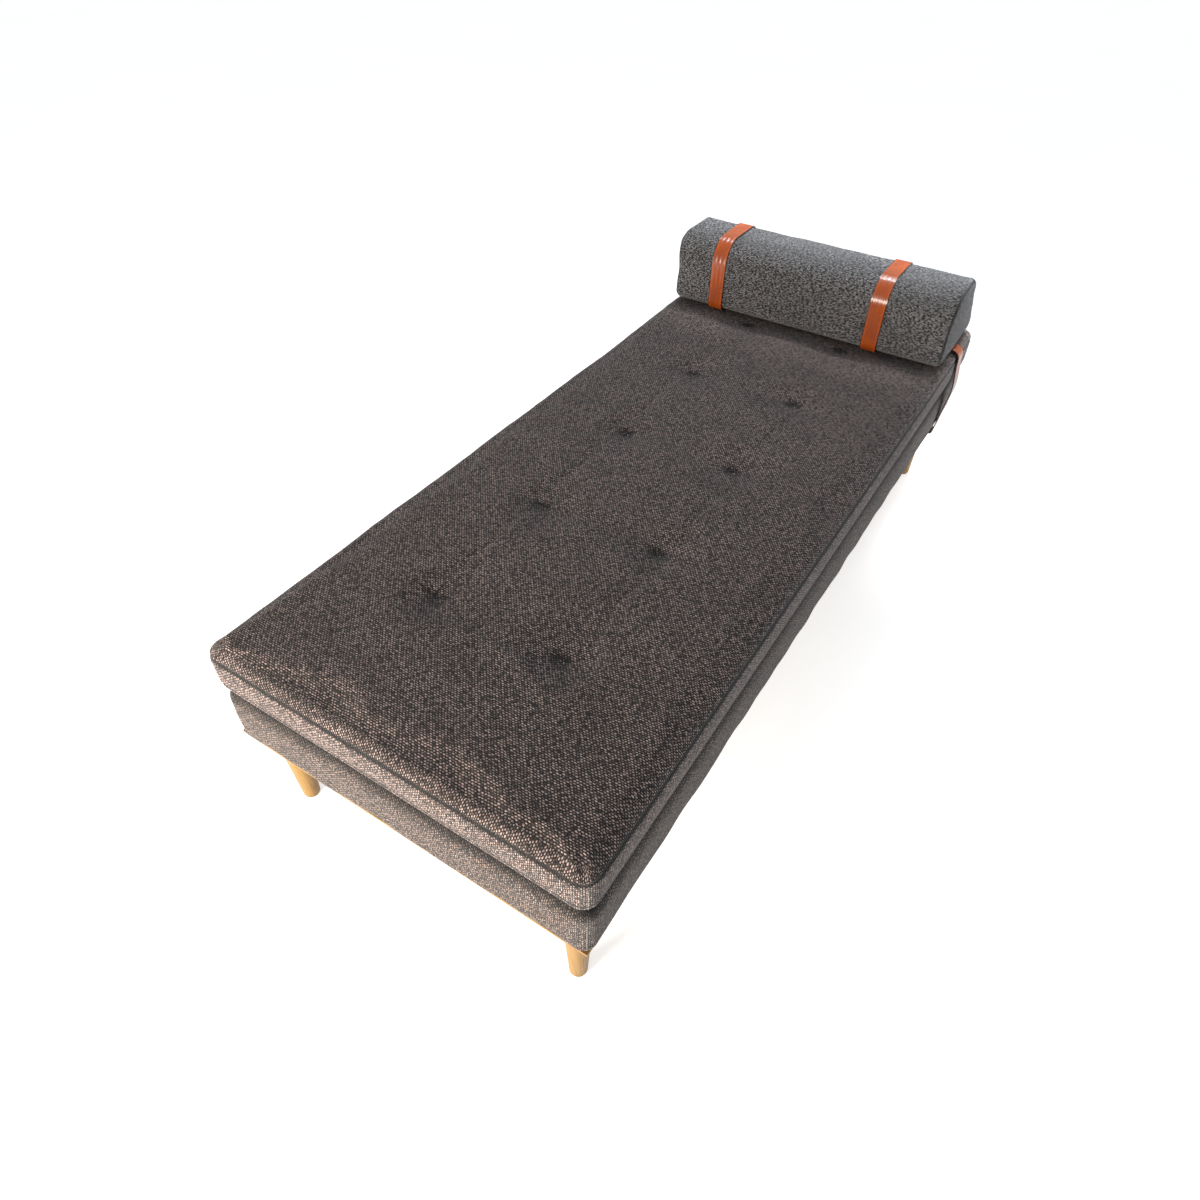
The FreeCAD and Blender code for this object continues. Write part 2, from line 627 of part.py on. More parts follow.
def make_buckle(prefix, site):
    """Frame of round bar, roller on the outer bar, prong on the heel bar, and the leather keeper."""
    width = f"2 * {BUCKLE_HALF}"
    bars = []
    for key, x, z in (("Heel", "0", FOLD_RADIUS), ("Outer", "buckle_reach", ROLLER_HEIGHT)):
        bars.append(cylinder(f"{prefix}_{key}", "bar_radius", width, x, f"-{BUCKLE_HALF}", z, "y"))
    rise = f"({ROLLER_HEIGHT} - {FOLD_RADIUS})"
    for side, y in (("Near", f"-{BUCKLE_HALF}"), ("Far", BUCKLE_HALF)):
        length = f"sqrt(buckle_reach^2 + {rise}^2)"
        bar = cylinder(f"{prefix}_{side}", "bar_radius", length, "0", y, FOLD_RADIUS, "x")
        bind(bar, **{"Placement.Rotation.Angle": f"90 deg - atan({rise} / buckle_reach)"})
        bars.append(bar)
        for key, x, z in (("A", "0", FOLD_RADIUS), ("B", "buckle_reach", ROLLER_HEIGHT)):
            ball = doc.addObject("Part::Sphere", f"{prefix}_{side}{key}")
            bind(ball, Radius="bar_radius")
            bars.append(place(ball, x, y, z))
    finish(settle(fuse(f"{prefix}_Frame", bars), site), f"{prefix}_buckle")

    tube = cylinder(f"{prefix}_Tube", ROLLER_RADIUS, "strap_width", "buckle_reach", "-strap_width / 2",
                    ROLLER_HEIGHT, "y")
    bore = cylinder(f"{prefix}_TubeBore", "bar_radius + running_gap", CUT_WIDTH, "buckle_reach",
                    CUT_SIDE, ROLLER_HEIGHT, "y")
    finish(settle(cut(f"{prefix}_Roller", tube, bore), site), f"{prefix}_roller")

    make_prong(prefix, site)
    make_keeper(prefix, site)


def make_prong(prefix, site):
    """An eye round the heel bar and a round shank that rests on the roller."""
    eye_width = "(prong_slot - 4 * running_gap)"
    eye = cylinder(f"{prefix}_Eye", "bar_radius + eye_wall", eye_width, "0", f"-{eye_width} / 2",
                   FOLD_RADIUS, "y")
    bore = cylinder(f"{prefix}_EyeBore", "bar_radius + running_gap", f"{eye_width} + 2 * overcut", "0",
                    f"-{eye_width} / 2 - overcut", FOLD_RADIUS, "y")
    climb = f"({ROLLER_HEIGHT} + {ROLLER_RADIUS} + prong_radius + buckle_gap - {FOLD_RADIUS})"
    shank = cylinder(f"{prefix}_Shank", "prong_radius", "prong_reach", "0", "0", FOLD_RADIUS, "x")
    bind(shank, **{"Placement.Rotation.Angle": f"90 deg - atan({climb} / buckle_reach)"})
    solid = fuse(f"{prefix}_ProngSolid", [eye, shank])
    finish(settle(cut(f"{prefix}_Prong", solid, bore), site), f"{prefix}_prong")


def make_keeper(prefix, site):
    """A leather loop round the strap's two layers, stitched to the inner one's edges."""
    layers = "(2 * leather + 2 * buckle_gap)"
    outer = box(f"{prefix}_KeeperOuter", "keeper_width", "strap_width + 2 * buckle_gap + 2 * keeper_leather",
                f"{layers} + keeper_leather", "-keeper_place - keeper_width",
                "-strap_width / 2 - buckle_gap - keeper_leather", "0")
    inner = box(f"{prefix}_KeeperInner", "keeper_width + 2 * overcut", "strap_width + 2 * buckle_gap",
                layers, "-keeper_place - keeper_width - overcut", "-strap_width / 2 - buckle_gap", "0")
    finish(settle(cut(f"{prefix}_Keeper", outer, inner), site), f"{prefix}_keeper")


def make_leather():
    for side, middle in (("near", "near_strap"), ("far", "far_strap")):
        site = strap_site(middle)
        make_strap(f"bolster_strap_{side}", strap_loop(f"Loop_{side}", middle), site)
        make_buckle(f"strap_{side}", site)
    make_strap("cross_belt", belt_loop(), BELT_SITE)
    make_buckle("belt", BELT_SITE)


def belt_section(grow):
    """The belt's outline in Y and Z: over the mattress, down both sides and under the oak rim."""
    top = f"({BELT_FLOOR} + {grow})"
    low = f"({BELT_UNDER} - {grow})"
    wide = f"(mattress_width / 2 + belt_stand_off + {grow})"
    narrow = f"(max(base_width; mattress_width - 2 * mattress_low_roll) / 2 + soft_gap + {grow})"
    return [(f"-{narrow}", low), (narrow, low), (wide, BASE_TOP), (wide, top), (f"-{wide}", top),
            (f"-{wide}", BASE_TOP)]


def belt_loop():
    """The belt as a closed loop, tight round the rim and wider round the mattress."""
    solids = []
    for key, grow in (("Outer", "leather"), ("Inner", "0")):
        body = new_body(f"BeltLoop_{key}")
        width = "strap_width" if key == "Outer" else CUT_WIDTH
        solid = pad(body, outline(body, "YZ_Plane", belt_section(grow)), width)
        for level, radius in ((f"{BELT_UNDER} - {grow}", f"belt_low_round + {grow}"),
                              (f"{BELT_FLOOR} + {grow}", f"mattress_top_roll + {grow}")):
            solid = fillet(body, solid, radius, corner_at(level))
        solids.append(place(body, x="belt_place"))
    return cut("BeltLoop", *solids)


def corner_at(level):
    """A test for straight edges along X at one height."""
    height = number(level)
    straight = along((1, 0, 0))
    return lambda edge: straight(edge) and abs(edge.CenterOfMass.z - height) < 1e-3


# ---------------------------------------------------------------- build, check and write

def check(things):
    doc.recompute()
    for thing in doc.Objects:
        if "Invalid" in thing.State or "Error" in thing.State:
            raise RuntimeError(f"{thing.Name} ({thing.Label}) failed: {thing.State}")
    for thing in things:
        shape = thing.Shape
        if shape.isNull() or not shape.isValid() or not shape.Solids:
            raise RuntimeError(f"{thing.Label} has no valid solid")


def write(things):
    os.makedirs("parts", exist_ok=True)
    for thing in things:
        thing.Shape.exportStep(f"parts/{thing.Label}.step")


make_frame()
make_rim()
make_corner_blocks()
make_legs()
make_base_upholstery()
make_mattress()
make_zip_slider()
make_bolster()
make_leather()
check(NODES)
write(NODES)
for node in NODES:
    size = node.Shape.BoundBox
    measures = f"{size.XLength:8.1f} {size.YLength:7.1f} {size.ZLength:7.1f}"
    print(f"{node.Label:24s} {len(node.Shape.Solids):3d} solids  {measures}")
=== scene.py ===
"""A daybed: an upholstered base on an oak rim, a tufted mattress, and a wedge bolster with leather straps.
Lengths are in metres. X runs from the foot to the head, Y from the near side to the far side, and Z up."""
import math

import bmesh
import bpy
import numpy as np
from mathutils import Matrix, Vector


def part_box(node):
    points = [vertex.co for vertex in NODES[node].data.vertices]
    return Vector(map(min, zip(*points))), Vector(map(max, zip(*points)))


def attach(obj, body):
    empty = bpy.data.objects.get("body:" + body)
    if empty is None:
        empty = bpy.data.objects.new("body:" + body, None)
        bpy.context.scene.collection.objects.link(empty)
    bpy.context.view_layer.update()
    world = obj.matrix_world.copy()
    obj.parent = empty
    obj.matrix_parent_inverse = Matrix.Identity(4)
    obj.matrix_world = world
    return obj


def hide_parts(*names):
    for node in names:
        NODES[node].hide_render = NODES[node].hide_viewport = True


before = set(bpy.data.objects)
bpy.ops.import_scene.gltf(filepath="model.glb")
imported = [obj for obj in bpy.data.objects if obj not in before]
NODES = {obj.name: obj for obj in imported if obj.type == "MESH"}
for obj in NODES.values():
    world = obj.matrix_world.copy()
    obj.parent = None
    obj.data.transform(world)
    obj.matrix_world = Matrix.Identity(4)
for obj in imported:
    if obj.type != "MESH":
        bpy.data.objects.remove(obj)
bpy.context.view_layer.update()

# ---- places, from the CAD frame ----
MATTRESS_LOW, MATTRESS_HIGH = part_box("mattress_cover")
BASE_LOW, BASE_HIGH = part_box("base_cover")
BOLSTER_LOW, BOLSTER_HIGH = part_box("bolster_cover")
BELT_LOW, BELT_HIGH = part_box("cross_belt")
TIES_LOW, TIES_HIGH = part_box("tuft_ties")
ZIP_LOW, ZIP_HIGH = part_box("mattress_zip")
TIE_RADIUS = 0.001
TUFT_ROWS = 5
TUFT_X = np.linspace(TIES_LOW.x + TIE_RADIUS, TIES_HIGH.x - TIE_RADIUS, TUFT_ROWS)
TUFT_Y = [TIES_LOW.y + TIE_RADIUS, TIES_HIGH.y - TIE_RADIUS]
STRAP_BOXES = [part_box("bolster_strap_" + side) for side in ("near", "far")]
STRAP_MIDDLES = [(low.y + high.y) / 2 for low, high in STRAP_BOXES]
STRAP_HALF = 0.021
BELT_MIDDLE = (BELT_LOW.x + BELT_HIGH.x) / 2

# ---- grids: the reach of their fine part, the fine step, the coarse step; points in each rounded edge ----
MATTRESS_GRID = (0.046, 0.005, 0.013)
BASE_GRID = (0.04, 0.005, 0.020)
BOLSTER_GRID = (0.07, 0.005, 0.012)
BLOCK_STEPS = (5, 7)
BOLSTER_STEPS = (6, 6)

# ---- mattress ----
MATTRESS_CORNER = 0.032
MATTRESS_TOP_ROLL = 0.020
MATTRESS_LOW_ROLL = 0.024
MATTRESS_SLACK = 0.003
MATTRESS_GROOVE = 0.0030
MATTRESS_SEAM_HOLD = 0.75
MATTRESS_UNEVEN = [(0.0012, 0.16, 3), (0.0005, 0.05, 4)]
MATTRESS_SINK = 0.0008
TOP_FADE = 0.012
UPPER_SEAM = MATTRESS_HIGH.z - 0.023
LOWER_SEAM = MATTRESS_LOW.z + MATTRESS_LOW_ROLL + 0.002

# ---- tufts: each hollow is a steep pit in a gentle bowl, with painted shade where it is deep, and creases round it ----
TUFT_DEPTH = 0.016
PIT_SHARE = 0.58
PIT_WIDTH, PIT_NEAR, PIT_FAR = 0.010, 0.007, 0.020
BOWL_WIDTH, BOWL_LENGTH = 0.038, 0.044
SHADE_FROM, SHADE_SPAN = 0.34, 0.40
CREASES = 5
CREASE_WIDTH = 0.0028
CREASE_REACH = 0.09

# ---- base ----
BASE_CORNER = 0.022
BASE_ROLL = 0.010
BASE_TOP_ROLL = 0.026
BASE_SLACK = 0.001
BASE_SPARE = 0.001
BASE_PRESSURE, BASE_LIMIT = 1.5, 0.0025
BASE_HEM = [(0.0012, 0.11, 11)]
BASE_UNEVEN = [(0.0010, 0.09, 12)]
BASE_PULL = 0.0006
GAP_SHADE_DROP, GAP_SHADE_FADE = 0.042, 0.036

# ---- bolster ----
BOLSTER_TOP_DEPTH = 0.165
BOLSTER_BOTTOM_DEPTH = 0.318
BOLSTER_FRONT_BEND = 0.060
BOLSTER_ROUND = 0.026
BOLSTER_END_ROUND = 0.014
BOLSTER_SLACK = 0.001
BOLSTER_LIMIT = 0.007
BOLSTER_GROOVE = 0.0024
BOLSTER_SEAM_HOLD, BOLSTER_EDGE_HOLD = 0.8, 0.85
BOLSTER_UNEVEN = [(0.0011, 0.14, 21), (0.0004, 0.05, 22)]
BEND_CUT = 0.004

# ---- belt: how far it bows off the sides, and leans in above the bow ----
BELT_BOW = 0.003
BELT_BOW_TOP = MATTRESS_HIGH.z - 0.095
BELT_LEAN = 0.0065
BELT_CUT = 0.008

# ---- leather ----
LEATHER_BEVEL = 0.0008
LINE_INSET, RIDGE_PITCH = 0.0044, 0.0125

# ---- sewing ----
NO_SEAM = 1.0
SEAM_HOLD = 0.004
SEAM_WIDTH = 0.0025
STITCH_LENGTH, STITCH_GAP, THREAD_RADIUS = 0.0055, 0.0022, 0.0006
MATTRESS_THREAD_SINK = 0.0008
BASE_THREAD_SINK = 0.0002
TOOTH_PITCH, TAPE_RIB_PITCH = 0.002, 0.0012

# ---- cloth simulation and unevenness ----
FRAMES = 14
PRESSURE = 5.0
HOLD_DECIMALS = 2
ON_FACE = 0.001
TINY = 1e-9
WAVES = 9

# ---- colours ----
# the dark yarn colours are both the dark yarns' own tone and painted shade in the dips between yarns
YARN_DARK_AND_WEAVE_SHADE = (0.009, 0.006, 0.005)
MATTRESS_YARN = (0.46, 0.340, 0.305)
# the base's yarn is the mattress cloth's yarn darkened to about two thirds: painted shade, as both are one
# cloth
SHADED_BASE_YARN = (0.31, 0.230, 0.196)
BOLSTER_YARN_DARK_AND_WEAVE_SHADE = (0.010, 0.009, 0.009)
BOLSTER_YARN = (0.42, 0.405, 0.41)
COARSE_WEAVE, FINE_WEAVE = (0.0038, 0.0062), (0.0026, 0.0056)
OAK_PALE, OAK_DEEP = (0.290, 0.166, 0.039), (0.203, 0.107, 0.025)
PINE_PALE, PINE_DEEP = (0.74, 0.56, 0.33), (0.58, 0.38, 0.18)
BEECH_PALE, BEECH_DEEP = (0.66, 0.46, 0.29), (0.50, 0.32, 0.18)
LEATHER = (0.350, 0.064, 0.006), (0.275, 0.047, 0.004), (0.035, 0.011, 0.006)

# ---- camera ----
CAMERA_PLACE = (-1.4299, -0.6871, 1.5225)
CAMERA_AZIMUTH, CAMERA_ELEVATION, CAMERA_ROLL = -57.9782, 44.1045, 0.9597
CAMERA_LENS, CAMERA_SENSOR = 24.7066, 36.0
FLOOR_HALF = 14.0


# ---------------------------------------------------------------- closed forms on a grid
def unit(vector):
    return vector / np.linalg.norm(vector)


def turned(vector, angle):
    cosine, sine = math.cos(angle), math.sin(angle)
    return np.array([cosine * vector[0] - sine * vector[1], sine * vector[0] + cosine * vector[1]])


def spaced(length, spots, reach, fine, coarse):
    """Places from 0 to length, fine apart within reach of the spots and coarse apart elsewhere."""
    places = [0.0]
    while places[-1] < length:
        close = min(abs(places[-1] - spot) for spot in spots) < reach
        places.append(places[-1] + (fine if close else coarse))
    return np.array(places) * length / places[-1]


def shares(length, spots, reach, fine, coarse):
    """The same places as shares of the length, from 0 to 1."""
    places = spaced(length, spots, reach, fine, coarse)
    return places / places[-1]


def rounded_ring(corners, radius, stations):
    """Points and outward normals round a counterclockwise polygon, with each corner rounded.
    stations gives, for each side, distances from its first corner, without the second corner."""
    points, normals = [], []
    count = len(corners)
    for side in range(count):
        before, start, end, after = (corners[(side + step) % count] for step in (-1, 0, 1, 2))
        along = unit(end - start)
        outward = np.array([along[1], -along[0]])
        length = np.linalg.norm(end - start)
        first_turn = math.acos(np.clip(unit(start - before) @ along, -1, 1))
        last_turn = math.acos(np.clip(unit(after - end) @ along, -1, 1))
        first_reach = radius * math.tan(first_turn / 2)
        last_reach = radius * math.tan(last_turn / 2)
        for station in stations[side]:
            if station < first_reach:
                angle = -(1 - station / first_reach) * first_turn / 2
                centre = start + along * first_reach - outward * radius
            elif station > length - last_reach:
                angle = (1 - (length - station) / last_reach) * last_turn / 2
                centre = end - along * last_reach - outward * radius
            else:
                angle = 0.0
                centre = start + along * station - outward * radius
            normal = turned(outward, angle)
            points.append(centre + radius * normal)
            normals.append(normal)
    return np.array(points), np.array(normals)


def patch(ring, columns, rows, across, up):
    """The inner points of a four-sided ring, blended from its sides."""
    closed = np.vstack([ring, ring[:1]])
    bottom = closed[: columns + 1]
    right = closed[columns : columns + rows + 1]
    top = closed[columns + rows : 2 * columns + rows + 1][::-1]
    left = closed[2 * columns + rows :][::-1]
    inner = np.zeros((columns + 1, rows + 1, 2))
    for i, u in enumerate(across):
        for j, v in enumerate(up):
            sides = (1 - v) * bottom[i] + v * top[i] + (1 - u) * left[j] + u * right[j]
            corners = (1 - u) * ((1 - v) * bottom[0] + v * top[0]) + u * ((1 - v) * bottom[-1] + v * top[-1])
            inner[i, j] = sides - corners
    return inner


class SoftForm:
    """A closed prism with rounded edges: a four-sided ring carried along a profile, and a grid over each end.
    The profile is a list of (inset, height), and seams are the places along it where it is sewn.
    across and up are shares of the sides. The heights run up Z, or along Y if the ring is given as (z, x)."""

    def __init__(self, corners, radius, across, up, profile, seams, along_y=False):
        self.columns, self.rows = len(across) - 1, len(up) - 1
        self.axes = [1, 2, 0] if along_y else [0, 1, 2]
        lengths = [np.linalg.norm(corners[(k + 1) % 4] - corners[k]) for k in range(4)]
        steps = (across[:-1], up[:-1], (1 - across[::-1])[:-1], (1 - up[::-1])[:-1])
        stations = [share * length for share, length in zip(steps, lengths)]
        outline, normals = rounded_ring(corners, radius, stations)
        self.count = len(outline)
        self.outward = np.column_stack([normals, np.zeros(self.count)])[:, self.axes]
        self.profile = profile
        self.run = self.distances(np.array(profile))
        self.girth = self.distances(np.vstack([outline, outline[:1]]))
        gaps = [min(abs(place - seam) for seam in seams) for place in self.run]
        self.seam_gaps = np.array(gaps)
        layers = []
        for inset, height in profile:
            ring = outline - normals * inset
            layers.append(np.column_stack([ring, np.full(self.count, height)]))
        self.points = np.vstack(layers)
        self.caps = [self.add_cap(layer, across, up) for layer in (0, len(profile) - 1)]

    @staticmethod
    def distances(points):
        """How far each point is along the line through them all."""
        steps = np.linalg.norm(np.diff(points, axis=0), axis=1)
        return np.concatenate([[0], np.cumsum(steps)])

    def add_cap(self, layer, across, up):
        """Adds an end's inner points, and gives the grid of point numbers that covers the end."""
        columns, rows = self.columns, self.rows
        start = layer * self.count
        ring = self.points[start : start + self.count]
        inside = patch(ring[:, :2], columns, rows, across, up)[1:-1, 1:-1].reshape(-1, 2)
        first = len(self.points)
        self.points = np.vstack([self.points, np.column_stack([inside, np.full(len(inside), ring[0, 2])])])
        numbers = np.zeros((columns + 1, rows + 1), int)
        numbers[1:-1, 1:-1] = first + np.arange(len(inside)).reshape(columns - 1, rows - 1)
        around = [start + k % self.count for k in range(self.count + 1)]
        numbers[:, 0] = around[: columns + 1]
        numbers[-1, :] = around[columns : columns + rows + 1]
        numbers[:, -1] = around[columns + rows : 2 * columns + rows + 1][::-1]
        numbers[0, :] = around[2 * columns + rows :][::-1]
        return numbers

    def side_points(self):
        """Numbers of the points round the sides, one row for each place along the profile."""
        return np.arange(len(self.profile) * self.count).reshape(len(self.profile), self.count)

    def make(self, name):
        """A mesh object with two sets of coordinates, in metres: weave lies on the cloth, and the first
        coordinate of seam is the distance to the nearest seam."""
        faces, weave, seam = [], [], []
        for layer in range(len(self.profile) - 1):
            start, end = self.run[layer], self.run[layer + 1]
            for k in range(self.count):
                after = (k + 1) % self.count
                low, high = layer * self.count, (layer + 1) * self.count
                faces.append((low + k, low + after, high + after, high + k))
                near, far = self.girth[k], self.girth[k + 1]
                weave += [(near, start), (far, start), (far, end), (near, end)]
                seam += [(gap, 0.0) for gap in self.seam_gaps[layer : layer + 2] for _ in range(2)]
        for numbers in self.caps:
            for i in range(self.columns):
                for j in range(self.rows):
                    face = (numbers[i, j], numbers[i + 1, j], numbers[i + 1, j + 1], numbers[i, j + 1])
                    faces.append(face)
                    weave += [(self.points[n][0], self.points[n][1]) for n in face]
                    seam += [(NO_SEAM, 0.0)] * 4
        mesh = bpy.data.meshes.new(name)
        places = self.points[:, self.axes]
        mesh.from_pydata(places.tolist(), [], [[int(n) for n in face] for face in faces])
        for layer_name, values in (("weave", weave), ("seam", seam)):
            layer = mesh.uv_layers.new(name=layer_name)
            layer.data.foreach_set("uv", np.array(values, np.float32).ravel())
        work = bmesh.new()
        work.from_mesh(mesh)
        bmesh.ops.recalc_face_normals(work, faces=work.faces)
        work.to_mesh(mesh)
        work.free()
        mesh.shade_smooth()
        return placed(name, mesh)


def placed(name, mesh):
    """An object of that name, with that mesh, in the scene."""
    piece = bpy.data.objects.new(name, mesh)
    bpy.context.scene.collection.objects.link(piece)
    return piece


def rectangle(low, high, slack):
    """The plan of a block as four corners, counterclockwise, drawn in by the slack."""
    left, right = low.x + slack, high.x - slack
    near, far = low.y + slack, high.y - slack
    return [np.array(corner) for corner in ((left, near), (right, near), (right, far), (left, far))]


def quarter(radius, steps, rising):
    """(inset, height) along a quarter round: from the flat end to the side, or the other way."""
    angles = np.linspace(0, math.pi / 2, steps)
    points = [(radius * (1 - math.sin(a)), radius * (1 - math.cos(a))) for a in angles]
    return points if rising else points[::-1]


def block_profile(ends, rolls, steps, spots, fine, coarse):
    """(inset, height) from one end's edge to the other's, with a roll and its steps for each."""
    (low, high), (low_roll, top_roll), (low_steps, top_steps) = ends, rolls, steps
    rising = [(inset, low + height) for inset, height in quarter(low_roll, low_steps, True)]
    falling = [(inset, high - height) for inset, height in quarter(top_roll, top_steps, False)]
    wall = high - top_roll - low - low_roll
    middle = [(0.0, low + low_roll + step) for step in spaced(wall, spots, 4 * fine, fine, coarse)[1:-1]]
    return rising + middle + falling


def profile_place(profile, height):
    """How far along the profile that height is first reached."""
    run = 0.0
    for (inset, level), (next_inset, next_level) in zip(profile, profile[1:]):
        step = math.dist((inset, level), (next_inset, next_level))
        if next_level >= height:
            return run + step * (height - level) / (next_level - level)
        run += step
    return run


def point_values(mesh, field):
    """Three numbers for each point of a mesh: its place, co, or its normal, normal."""
    flat = np.empty(len(mesh.vertices) * 3, np.float32)
    mesh.vertices.foreach_get(field, flat)
    return flat.reshape(-1, 3).astype(float)


def coordinates(mesh):
    return point_values(mesh, "co")


def move_points(mesh, places):
    mesh.vertices.foreach_set("co", places.astype(np.float32).ravel())
    mesh.update()


# ---------------------------------------------------------------- cloth
def inflate(piece, pressure, held, limit):
    """Swells a piece as stuffed cloth. held is each point's hold, from 0 to 1, and limit the longest move."""
    mesh = piece.data
    rest = coordinates(mesh)
    group = piece.vertex_groups.new(name="held")
    holds = held.round(HOLD_DECIMALS)
    for hold in np.unique(holds):
        if hold > 0:
            group.add(np.flatnonzero(holds == hold).tolist(), float(hold), "REPLACE")
    cloth = piece.modifiers.new("Cloth", "CLOTH")
    settings = cloth.settings
    settings.quality = 4
    settings.mass = 0.4
    settings.tension_stiffness = 12
    settings.compression_stiffness = 12
    settings.shear_stiffness = 5
    settings.bending_stiffness = 2
    settings.use_pressure = True
    settings.uniform_pressure_force = pressure
    settings.effector_weights.gravity = 0
    settings.vertex_group_mass = "held"
    cloth.collision_settings.use_collision = False
    cloth.point_cache.frame_end = FRAMES
    for number in range(1, FRAMES + 1):
        bpy.context.scene.frame_set(number)
    evaluated = piece.evaluated_get(bpy.context.evaluated_depsgraph_get())
    swollen = coordinates(evaluated.data)
    piece.modifiers.remove(cloth)
    piece.vertex_groups.remove(group)
    bpy.context.scene.frame_set(1)
    move = swollen - rest
    length = np.linalg.norm(move, axis=1, keepdims=True)
    move *= limit * np.tanh(length / limit) / np.maximum(length, TINY)
    move_points(mesh, rest + move)


def subdivide(piece):
    """Makes a piece's mesh finer and smoother, and keeps its coordinate sets."""
    modifier = piece.modifiers.new("Subdivision", "SUBSURF")
    modifier.levels = modifier.render_levels = 1
    evaluated = piece.evaluated_get(bpy.context.evaluated_depsgraph_get())
    finer = bpy.data.meshes.new_from_object(evaluated)
    piece.modifiers.remove(modifier)
    piece.data = finer
    finer.shade_smooth()


def hold_seams(form, held, hold):
    """Holds the points near a form's seams, the most at the seam itself."""
    for ring, gap in zip(form.side_points(), form.seam_gaps):
        held[ring] = np.maximum(held[ring], hold * math.exp(-((gap / SEAM_HOLD) ** 2)))


def press_seams(form, piece, depth):
    """Presses a groove into a piece along its form's seams."""
    places = coordinates(piece.data)
    for ring, gap in zip(form.side_points(), form.seam_gaps):
        places[ring] -= form.outward * depth * math.exp(-((gap / SEAM_WIDTH) ** 2))
    move_points(piece.data, places)


def paint_shade(piece, share):
    """Stores painted shade where the cloth lies in a hollow or a gap, from 0 to 1: its material darkens the
    cloth there.
    """
    attribute = piece.data.attributes.new("painted_shade", "FLOAT", "POINT")
    attribute.data.foreach_set("value", share.astype(np.float32))


def soft_noise(points, size, seed):
    """Smooth unevenness from a few crossed waves, between about -1 and 1."""
    chance = np.random.default_rng(seed)
    total = np.zeros(len(points))
    for _ in range(WAVES):
        direction = unit(chance.normal(size=3))
        length = size * chance.uniform(0.6, 1.7)
        total += np.sin(points @ direction * 2 * math.pi / length + chance.uniform(0, 2 * math.pi))
    return total / math.sqrt(WAVES)


def unevenness(points, layers):
    """The sum of some noises, each given as (height, size, seed)."""
    return sum(height * soft_noise(points, size, seed) for height, size, seed in layers)


# ---------------------------------------------------------------- mattress
def bell(across, width, along, reach):
    """A smooth bump, 1 at its middle, with its width one way and its reach the other."""
    return np.exp(-(across**2) / (2 * width**2) - along**2 / (2 * reach**2))


def tuft_hollow(x, y, depth):
    """How far the top is drawn down round the tufts: steep at the near end of each hollow, gentle beyond."""
    fall = np.zeros_like(x)
    for tuft_x in TUFT_X:
        for tuft_y in TUFT_Y:
            across, along = x - tuft_x, y - tuft_y
            pit = bell(across, PIT_WIDTH, along, np.where(along < 0, PIT_NEAR, PIT_FAR))
            bowl = bell(across, BOWL_WIDTH, along, BOWL_LENGTH)
            fall += depth * (PIT_SHARE * pit + (1 - PIT_SHARE) * bowl)
    return fall


def tuft_creases(x, y):
    """Short folds that run out from each tuft, different at each."""
    fall = np.zeros_like(x)
    chance = np.random.default_rng(7)
    for tuft_x in TUFT_X:
        for tuft_y in TUFT_Y:
            away_x, away_y = x - tuft_x, y - tuft_y
            near = np.hypot(away_x, away_y) < CREASE_REACH
            for angle in chance.uniform(0, 2 * math.pi, CREASES):
                along = away_x * math.cos(angle) + away_y * math.sin(angle)
                beside = away_y * math.cos(angle) - away_x * math.sin(angle)
                off_fold = beside - chance.uniform(-6, 6) * along**2
                reach = chance.uniform(0.022, 0.042)
                rise = np.clip(along / 0.010, 0, 1) * np.exp(-((along / reach) ** 2))
                fold = np.exp(-((off_fold / CREASE_WIDTH) ** 2)) * rise * near
                fall += chance.uniform(0.0006, 0.0016) * fold
    return fall


def mattress_form():
    """The mattress at rest, with a finer grid round its tufts and near its edges."""
    low, high, slack = MATTRESS_LOW, MATTRESS_HIGH, MATTRESS_SLACK
    length, width = high.x - low.x - 2 * slack, high.y - low.y - 2 * slack
    spots_x = [x - low.x - slack for x in TUFT_X] + [0, length]
    spots_y = [y - low.y - slack for y in TUFT_Y] + [0, width]
    across = shares(length, spots_x, *MATTRESS_GRID)
    up = shares(width, spots_y, *MATTRESS_GRID)
    rolls = (MATTRESS_LOW_ROLL, MATTRESS_TOP_ROLL)
    spots = [UPPER_SEAM - low.z - MATTRESS_LOW_ROLL, 0.004]
    profile = block_profile((low.z, high.z - slack), rolls, BLOCK_STEPS, spots, 0.003, 0.010)
    seams = [profile_place(profile, seam) for seam in (UPPER_SEAM, LOWER_SEAM)]
    return SoftForm(rectangle(low, high, slack), MATTRESS_CORNER, across, up, profile, seams)


def mattress_hold(form, places, hollow, on_top):
    """Holds the underside, the tufts, the seams, the part under the bolster and the part behind the zip."""
    held = np.where(places[:, 2] < MATTRESS_LOW.z + ON_FACE, 1.0, 0.0)
    held = np.maximum(held, np.clip(hollow / (0.55 * TUFT_DEPTH), 0, 1))
    hold_seams(form, held, MATTRESS_SEAM_HOLD)
    under_bolster = np.clip((places[:, 0] - BOLSTER_LOW.x + 0.02) / 0.04, 0, 1) * on_top
    held = np.maximum(held, under_bolster)
    at_head = places[:, 0] > MATTRESS_HIGH.x - 0.01
    behind_zip = at_head * (np.abs(places[:, 1]) < ZIP_HIGH.y + 0.01) * (places[:, 2] < ZIP_HIGH.z + 0.01)
    return np.maximum(held, behind_zip)


